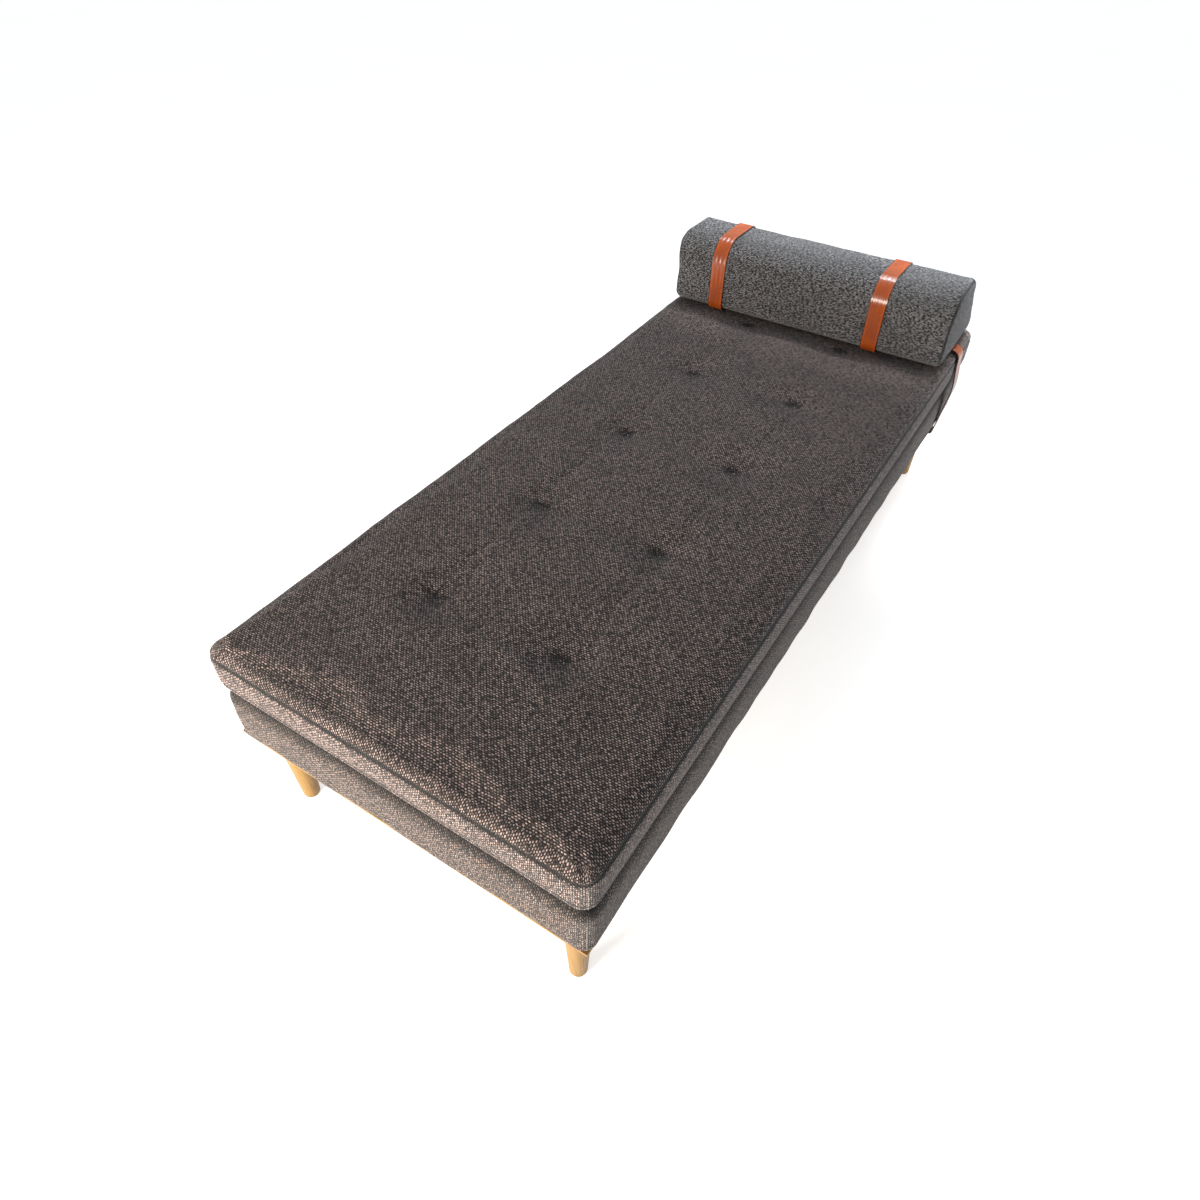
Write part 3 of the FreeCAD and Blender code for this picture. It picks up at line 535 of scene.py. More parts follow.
def make_mattress(cloth):
    low, high = MATTRESS_LOW, MATTRESS_HIGH
    form = mattress_form()
    piece = form.make("mattress")
    places = coordinates(piece.data)
    on_top = places[:, 2] > high.z - MATTRESS_SLACK - ON_FACE
    hollow = tuft_hollow(places[:, 0], places[:, 1], TUFT_DEPTH) * on_top
    places[:, 2] -= hollow
    move_points(piece.data, places)
    inflate(piece, PRESSURE, mattress_hold(form, places, hollow, on_top), 2 * MATTRESS_SLACK)
    press_seams(form, piece, MATTRESS_GROOVE)
    subdivide(piece)
    places = coordinates(piece.data)
    top_share = np.clip((places[:, 2] - UPPER_SEAM) / TOP_FADE, 0, 1)
    places[:, 2] += top_share * (unevenness(places, MATTRESS_UNEVEN) - MATTRESS_SINK)
    places[:, 2] -= top_share * tuft_creases(places[:, 0], places[:, 1])
    # painted shade in the tuft pits, where the hollow is deeper than SHADE_FROM
    in_tuft = tuft_hollow(places[:, 0], places[:, 1], 1.0) - SHADE_FROM
    painted_shade = top_share * np.clip(in_tuft, 0, SHADE_SPAN) / SHADE_SPAN
    # painted shade under the mattress's lower roll, within 10 mm of its underside
    painted_shade = np.maximum(painted_shade, np.clip(1 - (places[:, 2] - low.z) / 0.010, 0, 1))
    paint_shade(piece, painted_shade)
    move_points(piece.data, np.clip(places, low, high))
    piece.data.materials.append(cloth)
    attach(piece, "bed")
    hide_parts("mattress_cover", "mattress_core")


# ---------------------------------------------------------------- thread
def stitch_row(name, path, thread):
    """A row of stitches along a path of points: each a short thread that bows out of the cloth."""
    path = np.array(path)
    run = SoftForm.distances(path)
    points, faces = [], []
    sides, rings = 6, 5
    start = STITCH_GAP
    while start + STITCH_LENGTH < run[-1]:
        first = len(points)
        for ring in range(rings):
            share = ring / (rings - 1)
            place = start + share * STITCH_LENGTH
            middle = np.array([np.interp(place, run, path[:, axis]) for axis in range(3)])
            thick = THREAD_RADIUS * (0.35 + 0.65 * math.sin(math.pi * share))
            outward = unit(middle * [1, 1, 0])
            aside = np.cross(unit(path[-1] - path[0]), outward)
            for side in range(sides):
                angle = 2 * math.pi * side / sides
                points.append(middle + thick * (math.cos(angle) * outward + math.sin(angle) * aside))
        for ring in range(rings - 1):
            for side in range(sides):
                after = (side + 1) % sides
                low, high = first + ring * sides, first + (ring + 1) * sides
                faces.append((low + side, low + after, high + after, high + side))
        faces.append(tuple(first + side for side in range(sides))[::-1])
        faces.append(tuple(first + (rings - 1) * sides + side for side in range(sides)))
        start += STITCH_LENGTH + STITCH_GAP
    mesh = bpy.data.meshes.new(name)
    mesh.from_pydata([tuple(p) for p in points], [], faces)
    mesh.shade_smooth()
    mesh.materials.append(thread)
    piece = placed(name, mesh)
    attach(piece, "bed")


def corner_path(low, high, radius, sink, low_level, high_level):
    """Points up each rounded corner of a block, on its outermost line: (name, points) for each."""
    inward = sink + radius - radius * math.sqrt(0.5)
    for name_x, x in (("foot", low.x + inward), ("head", high.x - inward)):
        for name_y, y in (("near", low.y + inward), ("far", high.y - inward)):
            yield f"{name_x}_{name_y}", [(x, y, level) for level in np.linspace(low_level, high_level, 12)]


def make_corner_threads():
    thread = fibrous("seam_thread", (0.30, 0.27, 0.22), (0.62, 0.58, 0.50), 0.0005)
    levels = (MATTRESS_LOW.z + MATTRESS_LOW_ROLL, UPPER_SEAM - 0.004)
    corners = corner_path(MATTRESS_LOW, MATTRESS_HIGH, MATTRESS_CORNER, MATTRESS_THREAD_SINK, *levels)
    for corner, path in corners:
        stitch_row("mattress_thread_" + corner, path, thread)
    levels = (BASE_LOW.z + BASE_ROLL, BASE_HIGH.z - BASE_TOP_ROLL)
    for corner, path in corner_path(BASE_LOW, BASE_HIGH, BASE_CORNER, BASE_THREAD_SINK, *levels):
        stitch_row("base_thread_" + corner, path, thread)


# ---------------------------------------------------------------- base
def make_base(cloth):
    low, high, slack = BASE_LOW, BASE_HIGH, BASE_SLACK
    length, width = high.x - low.x - 2 * slack, high.y - low.y - 2 * slack
    across = shares(length, [0, length], *BASE_GRID)
    up = shares(width, [0, width], *BASE_GRID)
    profile = block_profile((low.z, high.z), (BASE_ROLL, BASE_TOP_ROLL), BLOCK_STEPS, [0], 0.004, 0.010)
    form = SoftForm(rectangle(low, high, slack), BASE_CORNER, across, up, profile, [NO_SEAM])
    piece = form.make("base_upholstery")
    level = coordinates(piece.data)[:, 2]
    wall = (level > low.z + 0.003) * (level < high.z - 0.003)
    inflate(piece, BASE_PRESSURE, np.where(wall, 0.0, 1.0), BASE_LIMIT)
    subdivide(piece)
    places = coordinates(piece.data)
    near_edge = np.clip(1 - (places[:, 2] - low.z) / 0.03, 0, 1)
    lower = places[:, 2] < low.z + 0.008
    places[:, 2] += lower * unevenness(places * [1, 1, 0], BASE_HEM)
    at_end = np.abs(places[:, 0]) > high.x - 0.02
    at_side = np.abs(places[:, 1]) > high.y - 0.02
    pull = unevenness(places, BASE_UNEVEN) * (0.4 + near_edge) - BASE_PULL
    places[:, 0] += np.sign(places[:, 0]) * at_end * pull
    places[:, 1] += np.sign(places[:, 1]) * at_side * pull
    spare = Vector((BASE_SPARE, BASE_SPARE, 0))
    places = np.clip(places, low - spare, high + spare)
    move_points(piece.data, places)
    # painted shadow of the mattress on the base's upper band, darkest at the top
    paint_shade(piece, np.clip((places[:, 2] - high.z + GAP_SHADE_DROP) / GAP_SHADE_FADE, 0, 1) ** 1.2)
    piece.data.materials.append(cloth)
    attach(piece, "bed")
    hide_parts("base_cover", "base_padding")


# ---------------------------------------------------------------- bolster
def round_front_edge(places):
    """Draws the bolster's upper front edge in from its small round to a wide bend."""
    reach, spare = BOLSTER_FRONT_BEND, BOLSTER_FRONT_BEND - BOLSTER_ROUND
    ahead = BOLSTER_LOW.x + reach - places[:, 0]
    above = places[:, 2] - BOLSTER_HIGH.z + reach
    inside = (ahead > 0) & (above > 0)
    away = np.maximum(np.hypot(ahead, above), TINY)
    cosine = np.where(inside, ahead / away, 1.0)
    sine = np.where(inside, above / away, 0.0)
    flat = reach / np.maximum(cosine, sine)
    toward = spare * (cosine + sine)
    curved = toward + np.sqrt(np.maximum(toward**2 - 2 * spare**2 + BOLSTER_ROUND**2, 0))
    on_curve = curved * np.minimum(cosine, sine) > spare
    inward = inside * (1 - reach / np.where(on_curve, curved, flat))
    moved = places.copy()
    moved[:, 0] += ahead * inward
    moved[:, 2] -= above * inward
    return moved


def beside_straps(places):
    """How far each point is outside the nearest strap's width."""
    gaps = [np.abs(places[:, 1] - middle) - STRAP_HALF for middle in STRAP_MIDDLES]
    return np.minimum(*gaps)


def bolster_form():
    """The bolster at rest: its section runs along Y, with a finer grid beside the straps."""
    low, high, slack = BOLSTER_LOW, BOLSTER_HIGH, BOLSTER_SLACK
    front, top = low.x + slack, high.z - slack
    top_front, bottom_front = (top, front), (low.z, front)
    top_back = (top, low.x + BOLSTER_TOP_DEPTH)
    bottom_back = (low.z, low.x + BOLSTER_BOTTOM_DEPTH - slack)
    section = [np.array(corner) for corner in (top_front, top_back, bottom_back, bottom_front)]
    depth, slope = math.dist(top_front, top_back), math.dist(top_back, bottom_back)
    across = shares(depth, [0, depth], *BOLSTER_GRID)
    up = shares(slope, [0, slope], *BOLSTER_GRID)
    wall = high.y - low.y - 2 * BOLSTER_END_ROUND
    edges = [middle + side for middle in STRAP_MIDDLES for side in (-STRAP_HALF, STRAP_HALF)]
    spots = [edge - low.y - BOLSTER_END_ROUND for edge in edges] + [0, wall]
    rolls = (BOLSTER_END_ROUND, BOLSTER_END_ROUND)
    profile = block_profile((low.y, high.y), rolls, BOLSTER_STEPS, spots, 0.004, 0.012)
    seam = BOLSTER_END_ROUND * 0.8
    seams = [seam, profile_place(profile, high.y) - seam]
    return SoftForm(section, BOLSTER_ROUND, across, up, profile, seams, along_y=True)


def bolster_hold(form, places):
    """Holds the underside, the parts under the straps, the seams and the long edges."""
    held = np.where(places[:, 2] < BOLSTER_LOW.z + ON_FACE, 1.0, 0.0)
    held = np.maximum(held, np.clip(1 - beside_straps(places) / 0.006, 0, 1))
    hold_seams(form, held, BOLSTER_SEAM_HOLD)
    bent = np.tile(np.abs(form.outward).max(axis=1) < 0.97, len(form.profile))
    held[: len(bent)] = np.maximum(held[: len(bent)], BOLSTER_EDGE_HOLD * bent)
    return held


def make_bolster(cloth):
    form = bolster_form()
    piece = form.make("bolster")
    places = round_front_edge(coordinates(piece.data))
    move_points(piece.data, places)
    inflate(piece, PRESSURE, bolster_hold(form, places), BOLSTER_LIMIT)
    press_seams(form, piece, BOLSTER_GROOVE)
    subdivide(piece)
    places = coordinates(piece.data)
    free = np.clip(beside_straps(places) / 0.02, 0, 1)
    free *= np.clip((places[:, 2] - BOLSTER_LOW.z) / 0.02, 0, 1)
    sway = free * unevenness(places, BOLSTER_UNEVEN)
    places += point_values(piece.data, "normal") * sway[:, None]
    places[:, 2] = np.maximum(places[:, 2], BOLSTER_LOW.z)
    move_points(piece.data, places)
    piece.data.materials.append(cloth)
    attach(piece, "bolster_unit")
    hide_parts("bolster_cover", "bolster_core")


# ---------------------------------------------------------------- materials
class Recipe:
    """A material being made: adds shader nodes and joins them."""

    def __init__(self, name):
        self.material = bpy.data.materials.new(name)
        self.material.use_nodes = True
        self.tree = self.material.node_tree
        self.surface = self.tree.nodes["Principled BSDF"]

    def node(self, kind, settings=None, inputs=None):
        made = self.tree.nodes.new("ShaderNode" + kind)
        for key, value in (settings or {}).items():
            setattr(made, key, value)
        for key, value in (inputs or {}).items():
            self.feed(made.inputs[key], value)
        return made

    def feed(self, socket, value):
        if isinstance(value, bpy.types.NodeSocket):
            self.tree.links.new(value, socket)
        else:
            socket.default_value = value

    def calc(self, operation, *values):
        return self.node("Math", {"operation": operation}, dict(enumerate(values))).outputs[0]

    def position(self):
        return self.node("TexCoord").outputs["Object"]

    def coordinate(self, name):
        return self.node("UVMap", {"uv_map": name}).outputs["UV"]

    def split(self, vector):
        made = self.node("SeparateXYZ", None, {0: vector})
        return made.outputs[0], made.outputs[1], made.outputs[2]

    def stretched(self, vector, scale):
        return self.node("VectorMath", {"operation": "MULTIPLY"}, {0: vector, 1: scale}).outputs[0]

    def noise(self, vector, scale, detail=2.0, distortion=0.0):
        inputs = {"Vector": vector, "Scale": scale, "Detail": detail, "Distortion": distortion}
        return self.node("TexNoise", None, inputs).outputs["Fac"]

    def span(self, value, low, high, to_low=0.0, to_high=1.0):
        inputs = {"Value": value, "From Min": low, "From Max": high, "To Min": to_low, "To Max": to_high}
        return self.node("MapRange", {"interpolation_type": "SMOOTHSTEP"}, inputs).outputs[0]

    def ramp(self, value, stops):
        made = self.node("ValToRGB", None, {0: value})
        elements = made.color_ramp.elements
        while len(elements) < len(stops):
            elements.new(0.5)
        for element, (place, colour) in zip(elements, stops):
            element.position = place
            element.color = (*colour, 1)
        return made.outputs[0]

    def mix(self, share, first, second, blend="MIX"):
        first = (*first, 1) if isinstance(first, tuple) else first
        second = (*second, 1) if isinstance(second, tuple) else second
        made = self.node("Mix", {"data_type": "RGBA", "blend_type": blend}, {0: share, 6: first, 7: second})
        return made.outputs[2]

    def bump(self, height, distance, strength=1.0):
        made = self.node("Bump", None, {"Height": height, "Distance": distance, "Strength": strength})
        self.feed(self.surface.inputs["Normal"], made.outputs[0])

    def finish(self, **inputs):
        for key, value in inputs.items():
            socket = self.surface.inputs[key.replace("_", " ")]
            if isinstance(value, tuple) and len(value) == 3:
                value = (*value, 1)
            self.feed(socket, value)
        return self.material


def woven(name, dark, light, warp, weft, mixture):
    """Basket-woven upholstery cloth, with painted shade between its yarns, along its seams and where its mesh
    marks hollows and gaps.
    warp and weft are its threads' pitches, and mixture is how much lighter or darker than the others a dash
    of yarn can be."""
    r = Recipe(name)
    weave = r.coordinate("weave")
    seam_gap = r.split(r.coordinate("seam"))[0]
    wander = r.calc("SUBTRACT", r.noise(weave, 45.0, 2.0), 0.5)
    u, v, _ = r.split(weave)
    across = r.calc("DIVIDE", r.calc("ADD", u, r.calc("MULTIPLY", wander, 0.004)), warp)
    row = r.calc("FLOOR", across)
    along = r.calc("DIVIDE", r.calc("ADD", v, r.calc("MULTIPLY", wander, 0.006)), weft)
    along = r.calc("ADD", along, r.calc("MULTIPLY", row, 0.5))
    rib = r.calc("ABSOLUTE", r.calc("SINE", r.calc("MULTIPLY", across, math.pi)))
    bead = r.calc("ABSOLUTE", r.calc("SINE", r.calc("MULTIPLY", along, math.pi)))
    crown = r.calc("MULTIPLY", r.calc("POWER", rib, 1.3), bead)
    cell = r.node("CombineXYZ", None, {0: row, 1: r.calc("FLOOR", along)}).outputs[0]
    chance = r.node("TexWhiteNoise", {"noise_dimensions": "2D"}, {"Vector": cell}).outputs["Value"]
    fibre = r.noise(r.stretched(weave, (900, 600, 1)), 1.0, 2.0)
    tone = r.noise(r.stretched(weave, (16, 6, 1)), 1.0, 3.0)
    streak = r.noise(r.stretched(weave, (160, 9, 1)), 1.0, 2.0)
    dash = r.noise(r.stretched(weave, (380, 130, 1)), 1.0, 2.0)
    # painted shade between the yarns: each yarn's crown is lighter and the dips between yarns fall to the
    # dark colour; chance, fibre and dash are the yarns' own tone
    yarn_tone_and_shade = r.calc("MULTIPLY", crown, r.span(chance, 0.0, 1.0, 0.66, 1.34))
    yarn_tone_and_shade = r.calc("MULTIPLY", yarn_tone_and_shade, r.span(fibre, 0.25, 0.75, 0.65, 1.35))
    yarn_tone_and_shade = r.calc("MULTIPLY", yarn_tone_and_shade, r.span(dash, 0.36, 0.64, 1 - mixture, 1 + mixture))
    colour = r.mix(r.span(yarn_tone_and_shade, 0.18, 1.28), dark, light)
    painted_shade = r.node("Attribute", {"attribute_name": "painted_shade"}).outputs["Fac"]
    shade = r.calc("MULTIPLY", r.span(tone, 0.2, 0.8, 0.86, 1.14), r.span(streak, 0.2, 0.8, 0.90, 1.10))
    # painted shade along the seam grooves, down to 0.07 of the colour at the seam
    shade = r.calc("MULTIPLY", shade, r.span(seam_gap, 0.0020, 0.0064, 0.07, 1.0))
    # painted shade in the tuft pits and gaps that the mesh marks, down to 0.13 of the colour
    shade = r.calc("MULTIPLY", shade, r.span(painted_shade, 0.0, 1.0, 1.0, 0.13))
    tint = r.node("CombineXYZ", None, {0: shade, 1: shade, 2: shade}).outputs[0]
    colour = r.mix(1.0, colour, tint, "MULTIPLY")
    r.bump(r.calc("ADD", crown, r.calc("MULTIPLY", fibre, 0.5)), 0.0014, 0.7)
    return r.finish(Base_Color=colour, Roughness=0.95, Sheen_Weight=0.15, Sheen_Roughness=0.5)


def wood(name, pale, deep, axis, gloss=0.5):
    """Wood with its grain along the axis, 0 to 2."""
    r = Recipe(name)
    place = r.position()
    stretch = [26.0, 26.0, 26.0]
    stretch[axis] = 1.6
    fine = [420.0, 420.0, 420.0]
    fine[axis] = 14.0
    figure = r.noise(r.stretched(place, tuple(stretch)), 1.0, 4.0, 1.2)
    pores = r.noise(r.stretched(place, tuple(fine)), 1.0, 2.0)
    bands = r.calc("FRACT", r.calc("MULTIPLY", figure, 7.0))
    colour = r.ramp(bands, [(0.0, deep), (0.35, pale), (0.85, pale), (1.0, deep)])
    colour = r.mix(r.span(figure, 0.3, 0.7, 0.0, 0.5), colour, deep)
    colour = r.mix(r.span(pores, 0.60, 0.74, 0.0, 0.45), colour, tuple(c * 0.55 for c in deep))
    r.bump(r.calc("SUBTRACT", 1.0, pores), 0.0004, 0.35)
    return r.finish(Base_Color=colour, Roughness=r.span(pores, 0.3, 0.8, gloss - 0.05, gloss + 0.15))


def leather(name, face, deep, edge, across_axis, middle):
    """Smooth leather with two creased lines and painted edges. Its width runs along across_axis."""
    r = Recipe(name)
    place = r.position()
    aside = r.calc("ABSOLUTE", r.calc("SUBTRACT", r.split(place)[across_axis], middle))
    mottle = r.noise(place, 22.0, 4.0)
    grain = r.noise(place, 900.0, 3.0)
    wave = r.noise(place, 38.0, 2.0)
    crease = r.calc("ABSOLUTE", r.calc("SUBTRACT", aside, STRAP_HALF - LINE_INSET))
    crease_line = r.span(crease, 0.0004, 0.0013, 1.0, 0.0)
    paint = r.span(aside, STRAP_HALF - 0.0014, STRAP_HALF - 0.0006)
    colour = r.mix(r.span(mottle, 0.35, 0.65), face, deep)
    colour = r.mix(r.calc("MULTIPLY", crease_line, 0.5), colour, tuple(min(1.0, c * 1.7) for c in face))
    colour = r.mix(paint, colour, edge)
    ridges = r.calc("COSINE", r.calc("MULTIPLY", aside, 2 * math.pi / RIDGE_PITCH))
    height = r.calc("ADD", r.calc("MULTIPLY", grain, 0.04), r.calc("MULTIPLY", wave, 0.7))
    height = r.calc("ADD", height, r.calc("MULTIPLY", ridges, 0.30))
    height = r.calc("SUBTRACT", height, r.calc("MULTIPLY", crease_line, 0.45))
    r.bump(height, 0.0012, 0.8)
    rough = r.span(mottle, 0.3, 0.7, 0.22, 0.34)
    return r.finish(Base_Color=colour, Roughness=rough, Coat_Weight=0.3, Coat_Roughness=0.15)


def metal(name, colour, rough):
    """Cast or rolled metal with fine scratches and slightly duller patches."""
    r = Recipe(name)
    place = r.position()
    patches = r.noise(place, 60.0, 4.0)
    scratches = r.noise(r.stretched(place, (3000, 200, 900)), 1.0, 2.0)
    tone = r.mix(r.span(patches, 0.3, 0.7, 0.0, 0.35), colour, tuple(c * 0.6 for c in colour))
    r.bump(scratches, 0.00008, 0.5)
    return r.finish(Base_Color=tone, Metallic=1.0, Roughness=r.span(patches, 0.3, 0.7, rough, rough + 0.15))


def fibrous(name, dark, light, size, rough=0.95):
    """Felt, wadding, foam and nonwoven cloth: tangled fibres of that size."""
    r = Recipe(name)
    place = r.position()
    tangle = r.noise(place, 1 / size, 5.0, 0.8)
    lumps = r.noise(place, 14.0, 2.0)
    colour = r.ramp(tangle, [(0.3, dark), (0.7, light)])
    colour = r.mix(r.span(lumps, 0.3, 0.7, 0.0, 0.25), colour, dark)
    r.bump(tangle, size, 0.5)
    return r.finish(Base_Color=colour, Roughness=rough)


def moulded(name, colour, rough=0.45):
    """Moulded plastic with a faint orange-peel surface."""
    r = Recipe(name)
    place = r.position()
    peel = r.noise(place, 700.0, 2.0)
    tone = r.mix(r.span(r.noise(place, 40.0), 0.3, 0.7, 0.0, 0.3), colour, tuple(c * 0.8 for c in colour))
    r.bump(peel, 0.0001, 0.4)
    return r.finish(Base_Color=tone, Roughness=rough)


def tape(name, dark, light, teeth):
    """Zip tape with its row of coil teeth across the middle."""
    r = Recipe(name)
    _, y, z = r.split(r.position())
    middle = (ZIP_LOW.z + ZIP_HIGH.z) / 2
    aside = r.calc("ABSOLUTE", r.calc("SUBTRACT", z, middle))
    pitch = r.calc("ABSOLUTE", r.calc("SINE", r.calc("MULTIPLY", y, math.pi / TOOTH_PITCH)))
    rows = r.calc("ABSOLUTE", r.calc("SINE", r.calc("MULTIPLY", z, math.pi / TAPE_RIB_PITCH)))
    coil = r.span(aside, 0.0024, 0.0030, 1.0, 0.0)
    cloth = r.mix(rows, dark, light)
    colour = r.mix(coil, cloth, teeth)
    height = r.calc("ADD", r.calc("MULTIPLY", coil, pitch), r.calc("MULTIPLY", rows, 0.2))
    r.bump(height, 0.0008, 0.8)
    return r.finish(Base_Color=colour, Roughness=r.span(coil, 0.0, 1.0, 0.9, 0.5))


# ---------------------------------------------------------------- CAD pieces that show as they are
def soften(piece, edge):
    """Rounds a piece's sharp edges and smooths its shading."""
    piece.data.shade_smooth()
    bevel = piece.modifiers.new("Bevel", "BEVEL")
    bevel.width = edge
    bevel.segments = 2
    bevel.limit_method = "ANGLE"
    bevel.angle_limit = math.radians(40)
    bevel.harden_normals = True


def dress(node, material, edge=0.0):
    """Gives a CAD node its material, and softens its edges by that much."""
    piece = NODES[node]
    if not piece.material_slots:
        piece.data.materials.append(None)
    for place in piece.material_slots:
        place.link = "OBJECT"
        place.material = material
    if edge:
        soften(piece, edge)
    else:
        piece.data.shade_smooth()


def dress_frame():
    oak_upright = wood("oak_upright", OAK_PALE, OAK_DEEP, 2)
    oak_along = wood("oak_along", OAK_PALE, OAK_DEEP, 0)
    oak_across = wood("oak_across", OAK_PALE, OAK_DEEP, 1)
    pine_along = wood("pine_along", PINE_PALE, PINE_DEEP, 0)
    pine_across = wood("pine_across", PINE_PALE, PINE_DEEP, 1)
    beech = wood("beech_across", BEECH_PALE, BEECH_DEEP, 1)
    for node in ("leg_foot_near", "leg_foot_far", "leg_head_near", "leg_head_far"):
        dress(node, oak_upright)
    for node in ("rim_near", "rim_far"):
        dress(node, oak_along, 0.0008)
    for node in ("rim_foot", "rim_head"):
        dress(node, oak_across, 0.0008)
    for node in ("side_rail_near", "side_rail_far", "slat_ledges", "corner_blocks"):
        dress(node, pine_along, 0.001)
    for node in ("end_rail_foot", "end_rail_head", "cross_beams"):
        dress(node, pine_across, 0.001)
    dress("slats", beech, 0.0015)
    steel = metal("zinc_plated_steel", (0.62, 0.63, 0.64), 0.35)
    dress("leg_bolts", steel)
    dress("leg_inserts", steel)
    dress("leg_glides", fibrous("felt", (0.10, 0.09, 0.08), (0.22, 0.20, 0.18), 0.0012))
    dress("dust_cover", fibrous("nonwoven_cloth", (0.015, 0.015, 0.016), (0.05, 0.05, 0.05), 0.0009))
    dress("tuft_discs", moulded("disc_plastic", (0.05, 0.05, 0.05)))
    dress("tuft_ties", fibrous("twine", (0.35, 0.30, 0.22), (0.60, 0.52, 0.40), 0.0006))


def dress_zip():
    dress("mattress_zip", tape("zip_tape", (0.05, 0.045, 0.04), (0.09, 0.08, 0.07), (0.12, 0.11, 0.10)))
    dress("mattress_zip_slider", metal("zip_slider_metal", (0.35, 0.33, 0.30), 0.3), 0.0003)


def leather_copy(node, name, skin):
    """A piece that starts as a CAD strap's own mesh, so that it can be bent."""
    mesh = NODES[node].data.copy()
    mesh.materials.clear()
    mesh.materials.append(skin)
    piece = placed(name, mesh)
    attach(piece, "bolster_unit")
    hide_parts(node)
    return piece


def cross_cut(mesh, normal, places):
    """Adds a row of edges where each plane crosses the mesh."""
    work = bmesh.new()
    work.from_mesh(mesh)
    for place in places:
        geometry = work.verts[:] + work.edges[:] + work.faces[:]
        point = Vector(normal) * float(place)
        bmesh.ops.bisect_plane(work, geom=geometry, plane_co=point, plane_no=normal)
    work.to_mesh(mesh)
    work.free()


def make_belt(skin):
    """The belt stands off the mattress in a slack bow, and leans back onto it under the top edge."""
    piece = leather_copy("cross_belt", "belt", skin)
    cross_cut(piece.data, (0, 0, 1), np.arange(BASE_LOW.z + 0.004, MATTRESS_HIGH.z - 0.004, BELT_CUT))
    places = coordinates(piece.data)
    level = places[:, 2]
    beside = np.abs(places[:, 1]) > BELT_HIGH.y - 0.05
    lean = np.clip((level - BELT_BOW_TOP) / (MATTRESS_HIGH.z - 0.02 - BELT_BOW_TOP), 0, 1)
    lean = lean * lean * (3 - 2 * lean)
    span = np.clip((level - BASE_LOW.z) / (MATTRESS_HIGH.z - BASE_LOW.z), 0, 1)
    bow = BELT_BOW * np.sin(math.pi * span) ** 2 - BELT_LEAN * lean
    places[:, 1] += beside * np.sign(places[:, 1]) * bow
    move_points(piece.data, places)
    soften(piece, LEATHER_BEVEL)


def make_strap(side, skin):
    """A strap that follows the bolster's wide bend."""
    piece = leather_copy("bolster_strap_" + side, "strap_" + side, skin)
    steps = np.arange(0, BOLSTER_FRONT_BEND + BEND_CUT, BEND_CUT)
    cross_cut(piece.data, (1, 0, 0), BOLSTER_LOW.x + steps)
    cross_cut(piece.data, (0, 0, 1), BOLSTER_HIGH.z - steps)
    move_points(piece.data, round_front_edge(coordinates(piece.data)))
    soften(piece, LEATHER_BEVEL)


def dress_leather():
    brass = metal("brushed_brass", (0.72, 0.55, 0.30), 0.25)
    for side, middle in zip(("near", "far"), STRAP_MIDDLES):
        skin = leather("strap_leather_" + side, *LEATHER, 1, middle)
        make_strap(side, skin)
        dress("strap_" + side + "_keeper", skin, 0.0004)
        for part in ("buckle", "roller", "prong"):
            dress("strap_" + side + "_" + part, brass, 0.0003)
    skin = leather("belt_leather", *LEATHER, 0, BELT_MIDDLE)
    make_belt(skin)
    dress("belt_keeper", skin, 0.0004)
    for part in ("buckle", "roller", "prong"):
        dress("belt_" + part, brass, 0.0003)


# ---------------------------------------------------------------- camera, floor and light
def make_camera():
    azimuth, elevation, roll = (math.radians(a) for a in (CAMERA_AZIMUTH, CAMERA_ELEVATION, CAMERA_ROLL))
    back = Vector((
        math.sin(azimuth) * math.cos(elevation),
        -math.cos(azimuth) * math.cos(elevation),
        math.sin(elevation),
    ))
    level = Vector((0, 0, 1)).cross(back).normalized()
    upright = back.cross(level)
    right = math.cos(roll) * level + math.sin(roll) * upright
    up = -math.sin(roll) * level + math.cos(roll) * upright
    lens = bpy.data.cameras.new("camera")
    lens.lens, lens.sensor_width = CAMERA_LENS, CAMERA_SENSOR
    camera = bpy.data.objects.new("camera", lens)
    camera.matrix_world = Matrix((right, up, back)).transposed().to_4x4()
    camera.location = CAMERA_PLACE
    bpy.context.scene.collection.objects.link(camera)
    bpy.context.scene.camera = camera


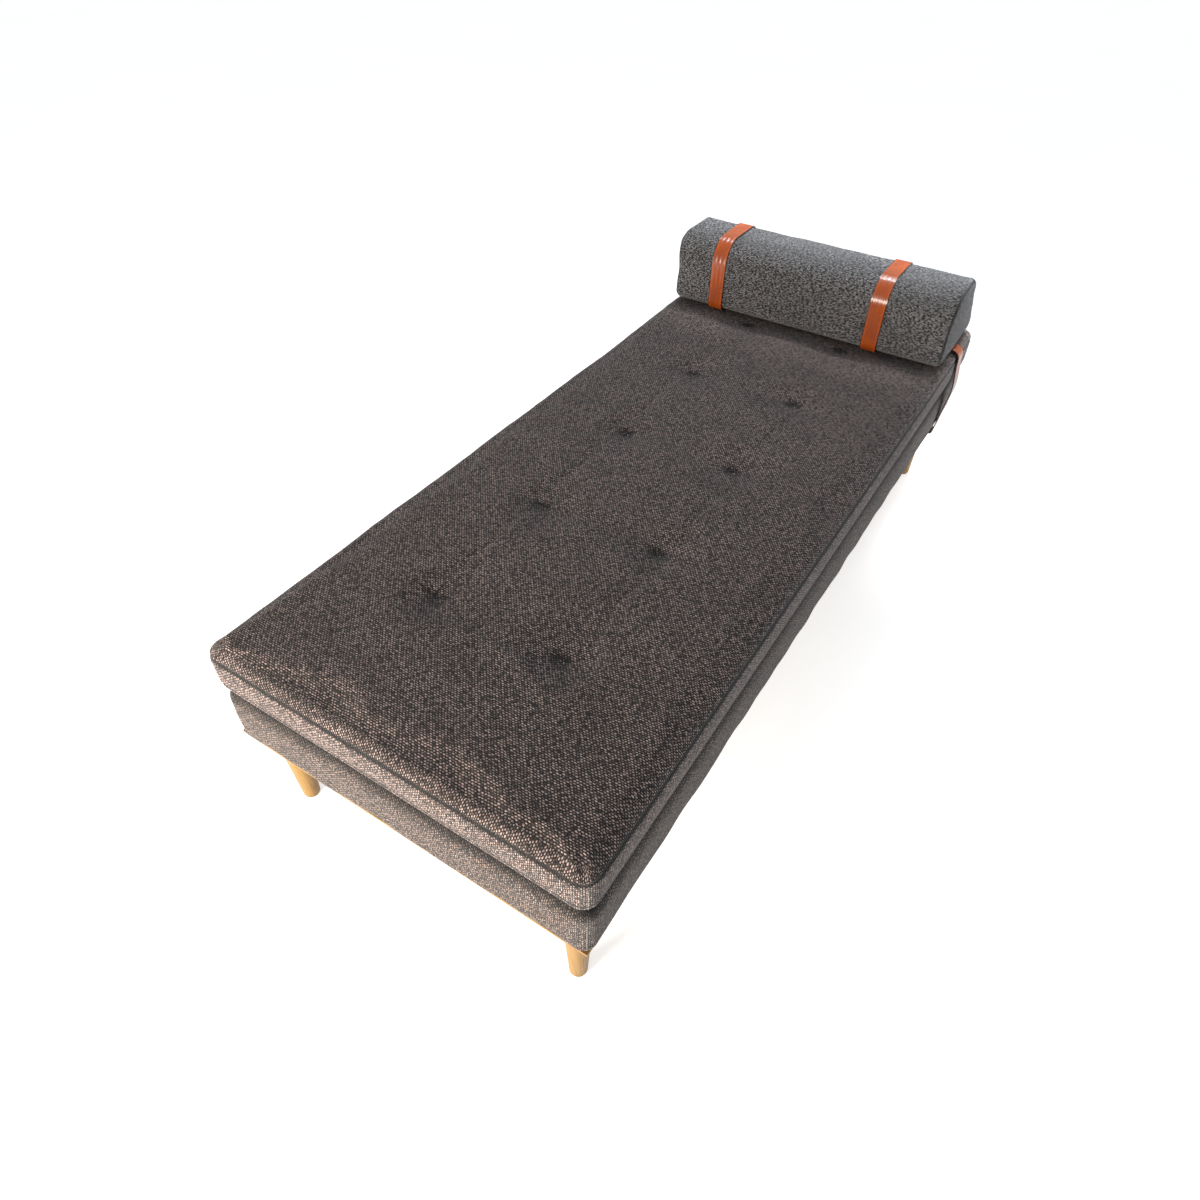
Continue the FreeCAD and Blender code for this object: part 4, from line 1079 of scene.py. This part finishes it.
def make_floor():
    mesh = bpy.data.meshes.new("floor")
    half = FLOOR_HALF
    corners = [(-half, -half, 0), (half, -half, 0), (half, half, 0), (-half, half, 0)]
    mesh.from_pydata(corners, [], [(0, 1, 2, 3)])
    floor = placed("floor", mesh)
    r = Recipe("studio_floor")
    tone = r.span(r.noise(r.position(), 1.3, 3.0), 0.3, 0.7, 0.89, 0.92)
    tint = r.node("CombineXYZ", None, {0: tone, 1: tone, 2: tone}).outputs[0]
    glow = {"Emission_Color": (1.0, 1.0, 1.0), "Emission_Strength": 0.60}
    mesh.materials.append(r.finish(Base_Color=tint, Roughness=0.9, **glow))


def add_light(name, place, aim, size, power, colour, spread=180):
    light = bpy.data.lights.new(name, "AREA")
    light.shape = "RECTANGLE"
    light.size, light.size_y = size
    light.spread = math.radians(spread)
    light.energy = power
    light.color = colour
    lamp = bpy.data.objects.new(name, light)
    lamp.location = place
    lamp.visible_camera = False
    lamp.rotation_mode = "QUATERNION"
    lamp.rotation_quaternion = (Vector(place) - Vector(aim)).to_track_quat("Z", "Y")
    bpy.context.scene.collection.objects.link(lamp)


def make_light():
    world = bpy.data.worlds.new("studio")
    world.use_nodes = True
    backdrop = world.node_tree.nodes["Background"]
    backdrop.inputs["Color"].default_value = (0.93, 0.97, 1.0, 1)
    backdrop.inputs["Strength"].default_value = 0.46
    bpy.context.scene.world = world
    bpy.context.scene.view_settings.view_transform = "Standard"
    add_light("key", (-2.7, 0.35, 0.60), (-1.0, 0, 0.38), (0.9, 0.9), 97, (1.0, 0.90, 0.79))
    add_light("sky", (1.2, 0.3, 2.3), (0.7, 0, 0.5), (1.1, 1.1), 15, (0.78, 0.89, 1.0))
    add_light("head", (0.95, 0.0, 1.32), (0.95, 0, 0.6), (0.15, 1.2), 4.6, (0.94, 0.97, 1.0), 56)


def main():
    make_camera()
    make_floor()
    make_light()
    make_mattress(woven("mattress_cloth", YARN_DARK_AND_WEAVE_SHADE, MATTRESS_YARN, *COARSE_WEAVE, 0.60))
    # the base's cloth is the mattress cloth darkened as painted shade
    make_base(woven("base_cloth", YARN_DARK_AND_WEAVE_SHADE, SHADED_BASE_YARN, *COARSE_WEAVE, 0.70))
    make_bolster(woven("bolster_cloth", BOLSTER_YARN_DARK_AND_WEAVE_SHADE, BOLSTER_YARN, *FINE_WEAVE, 0.85))
    make_corner_threads()
    dress_frame()
    dress_zip()
    dress_leather()


main()
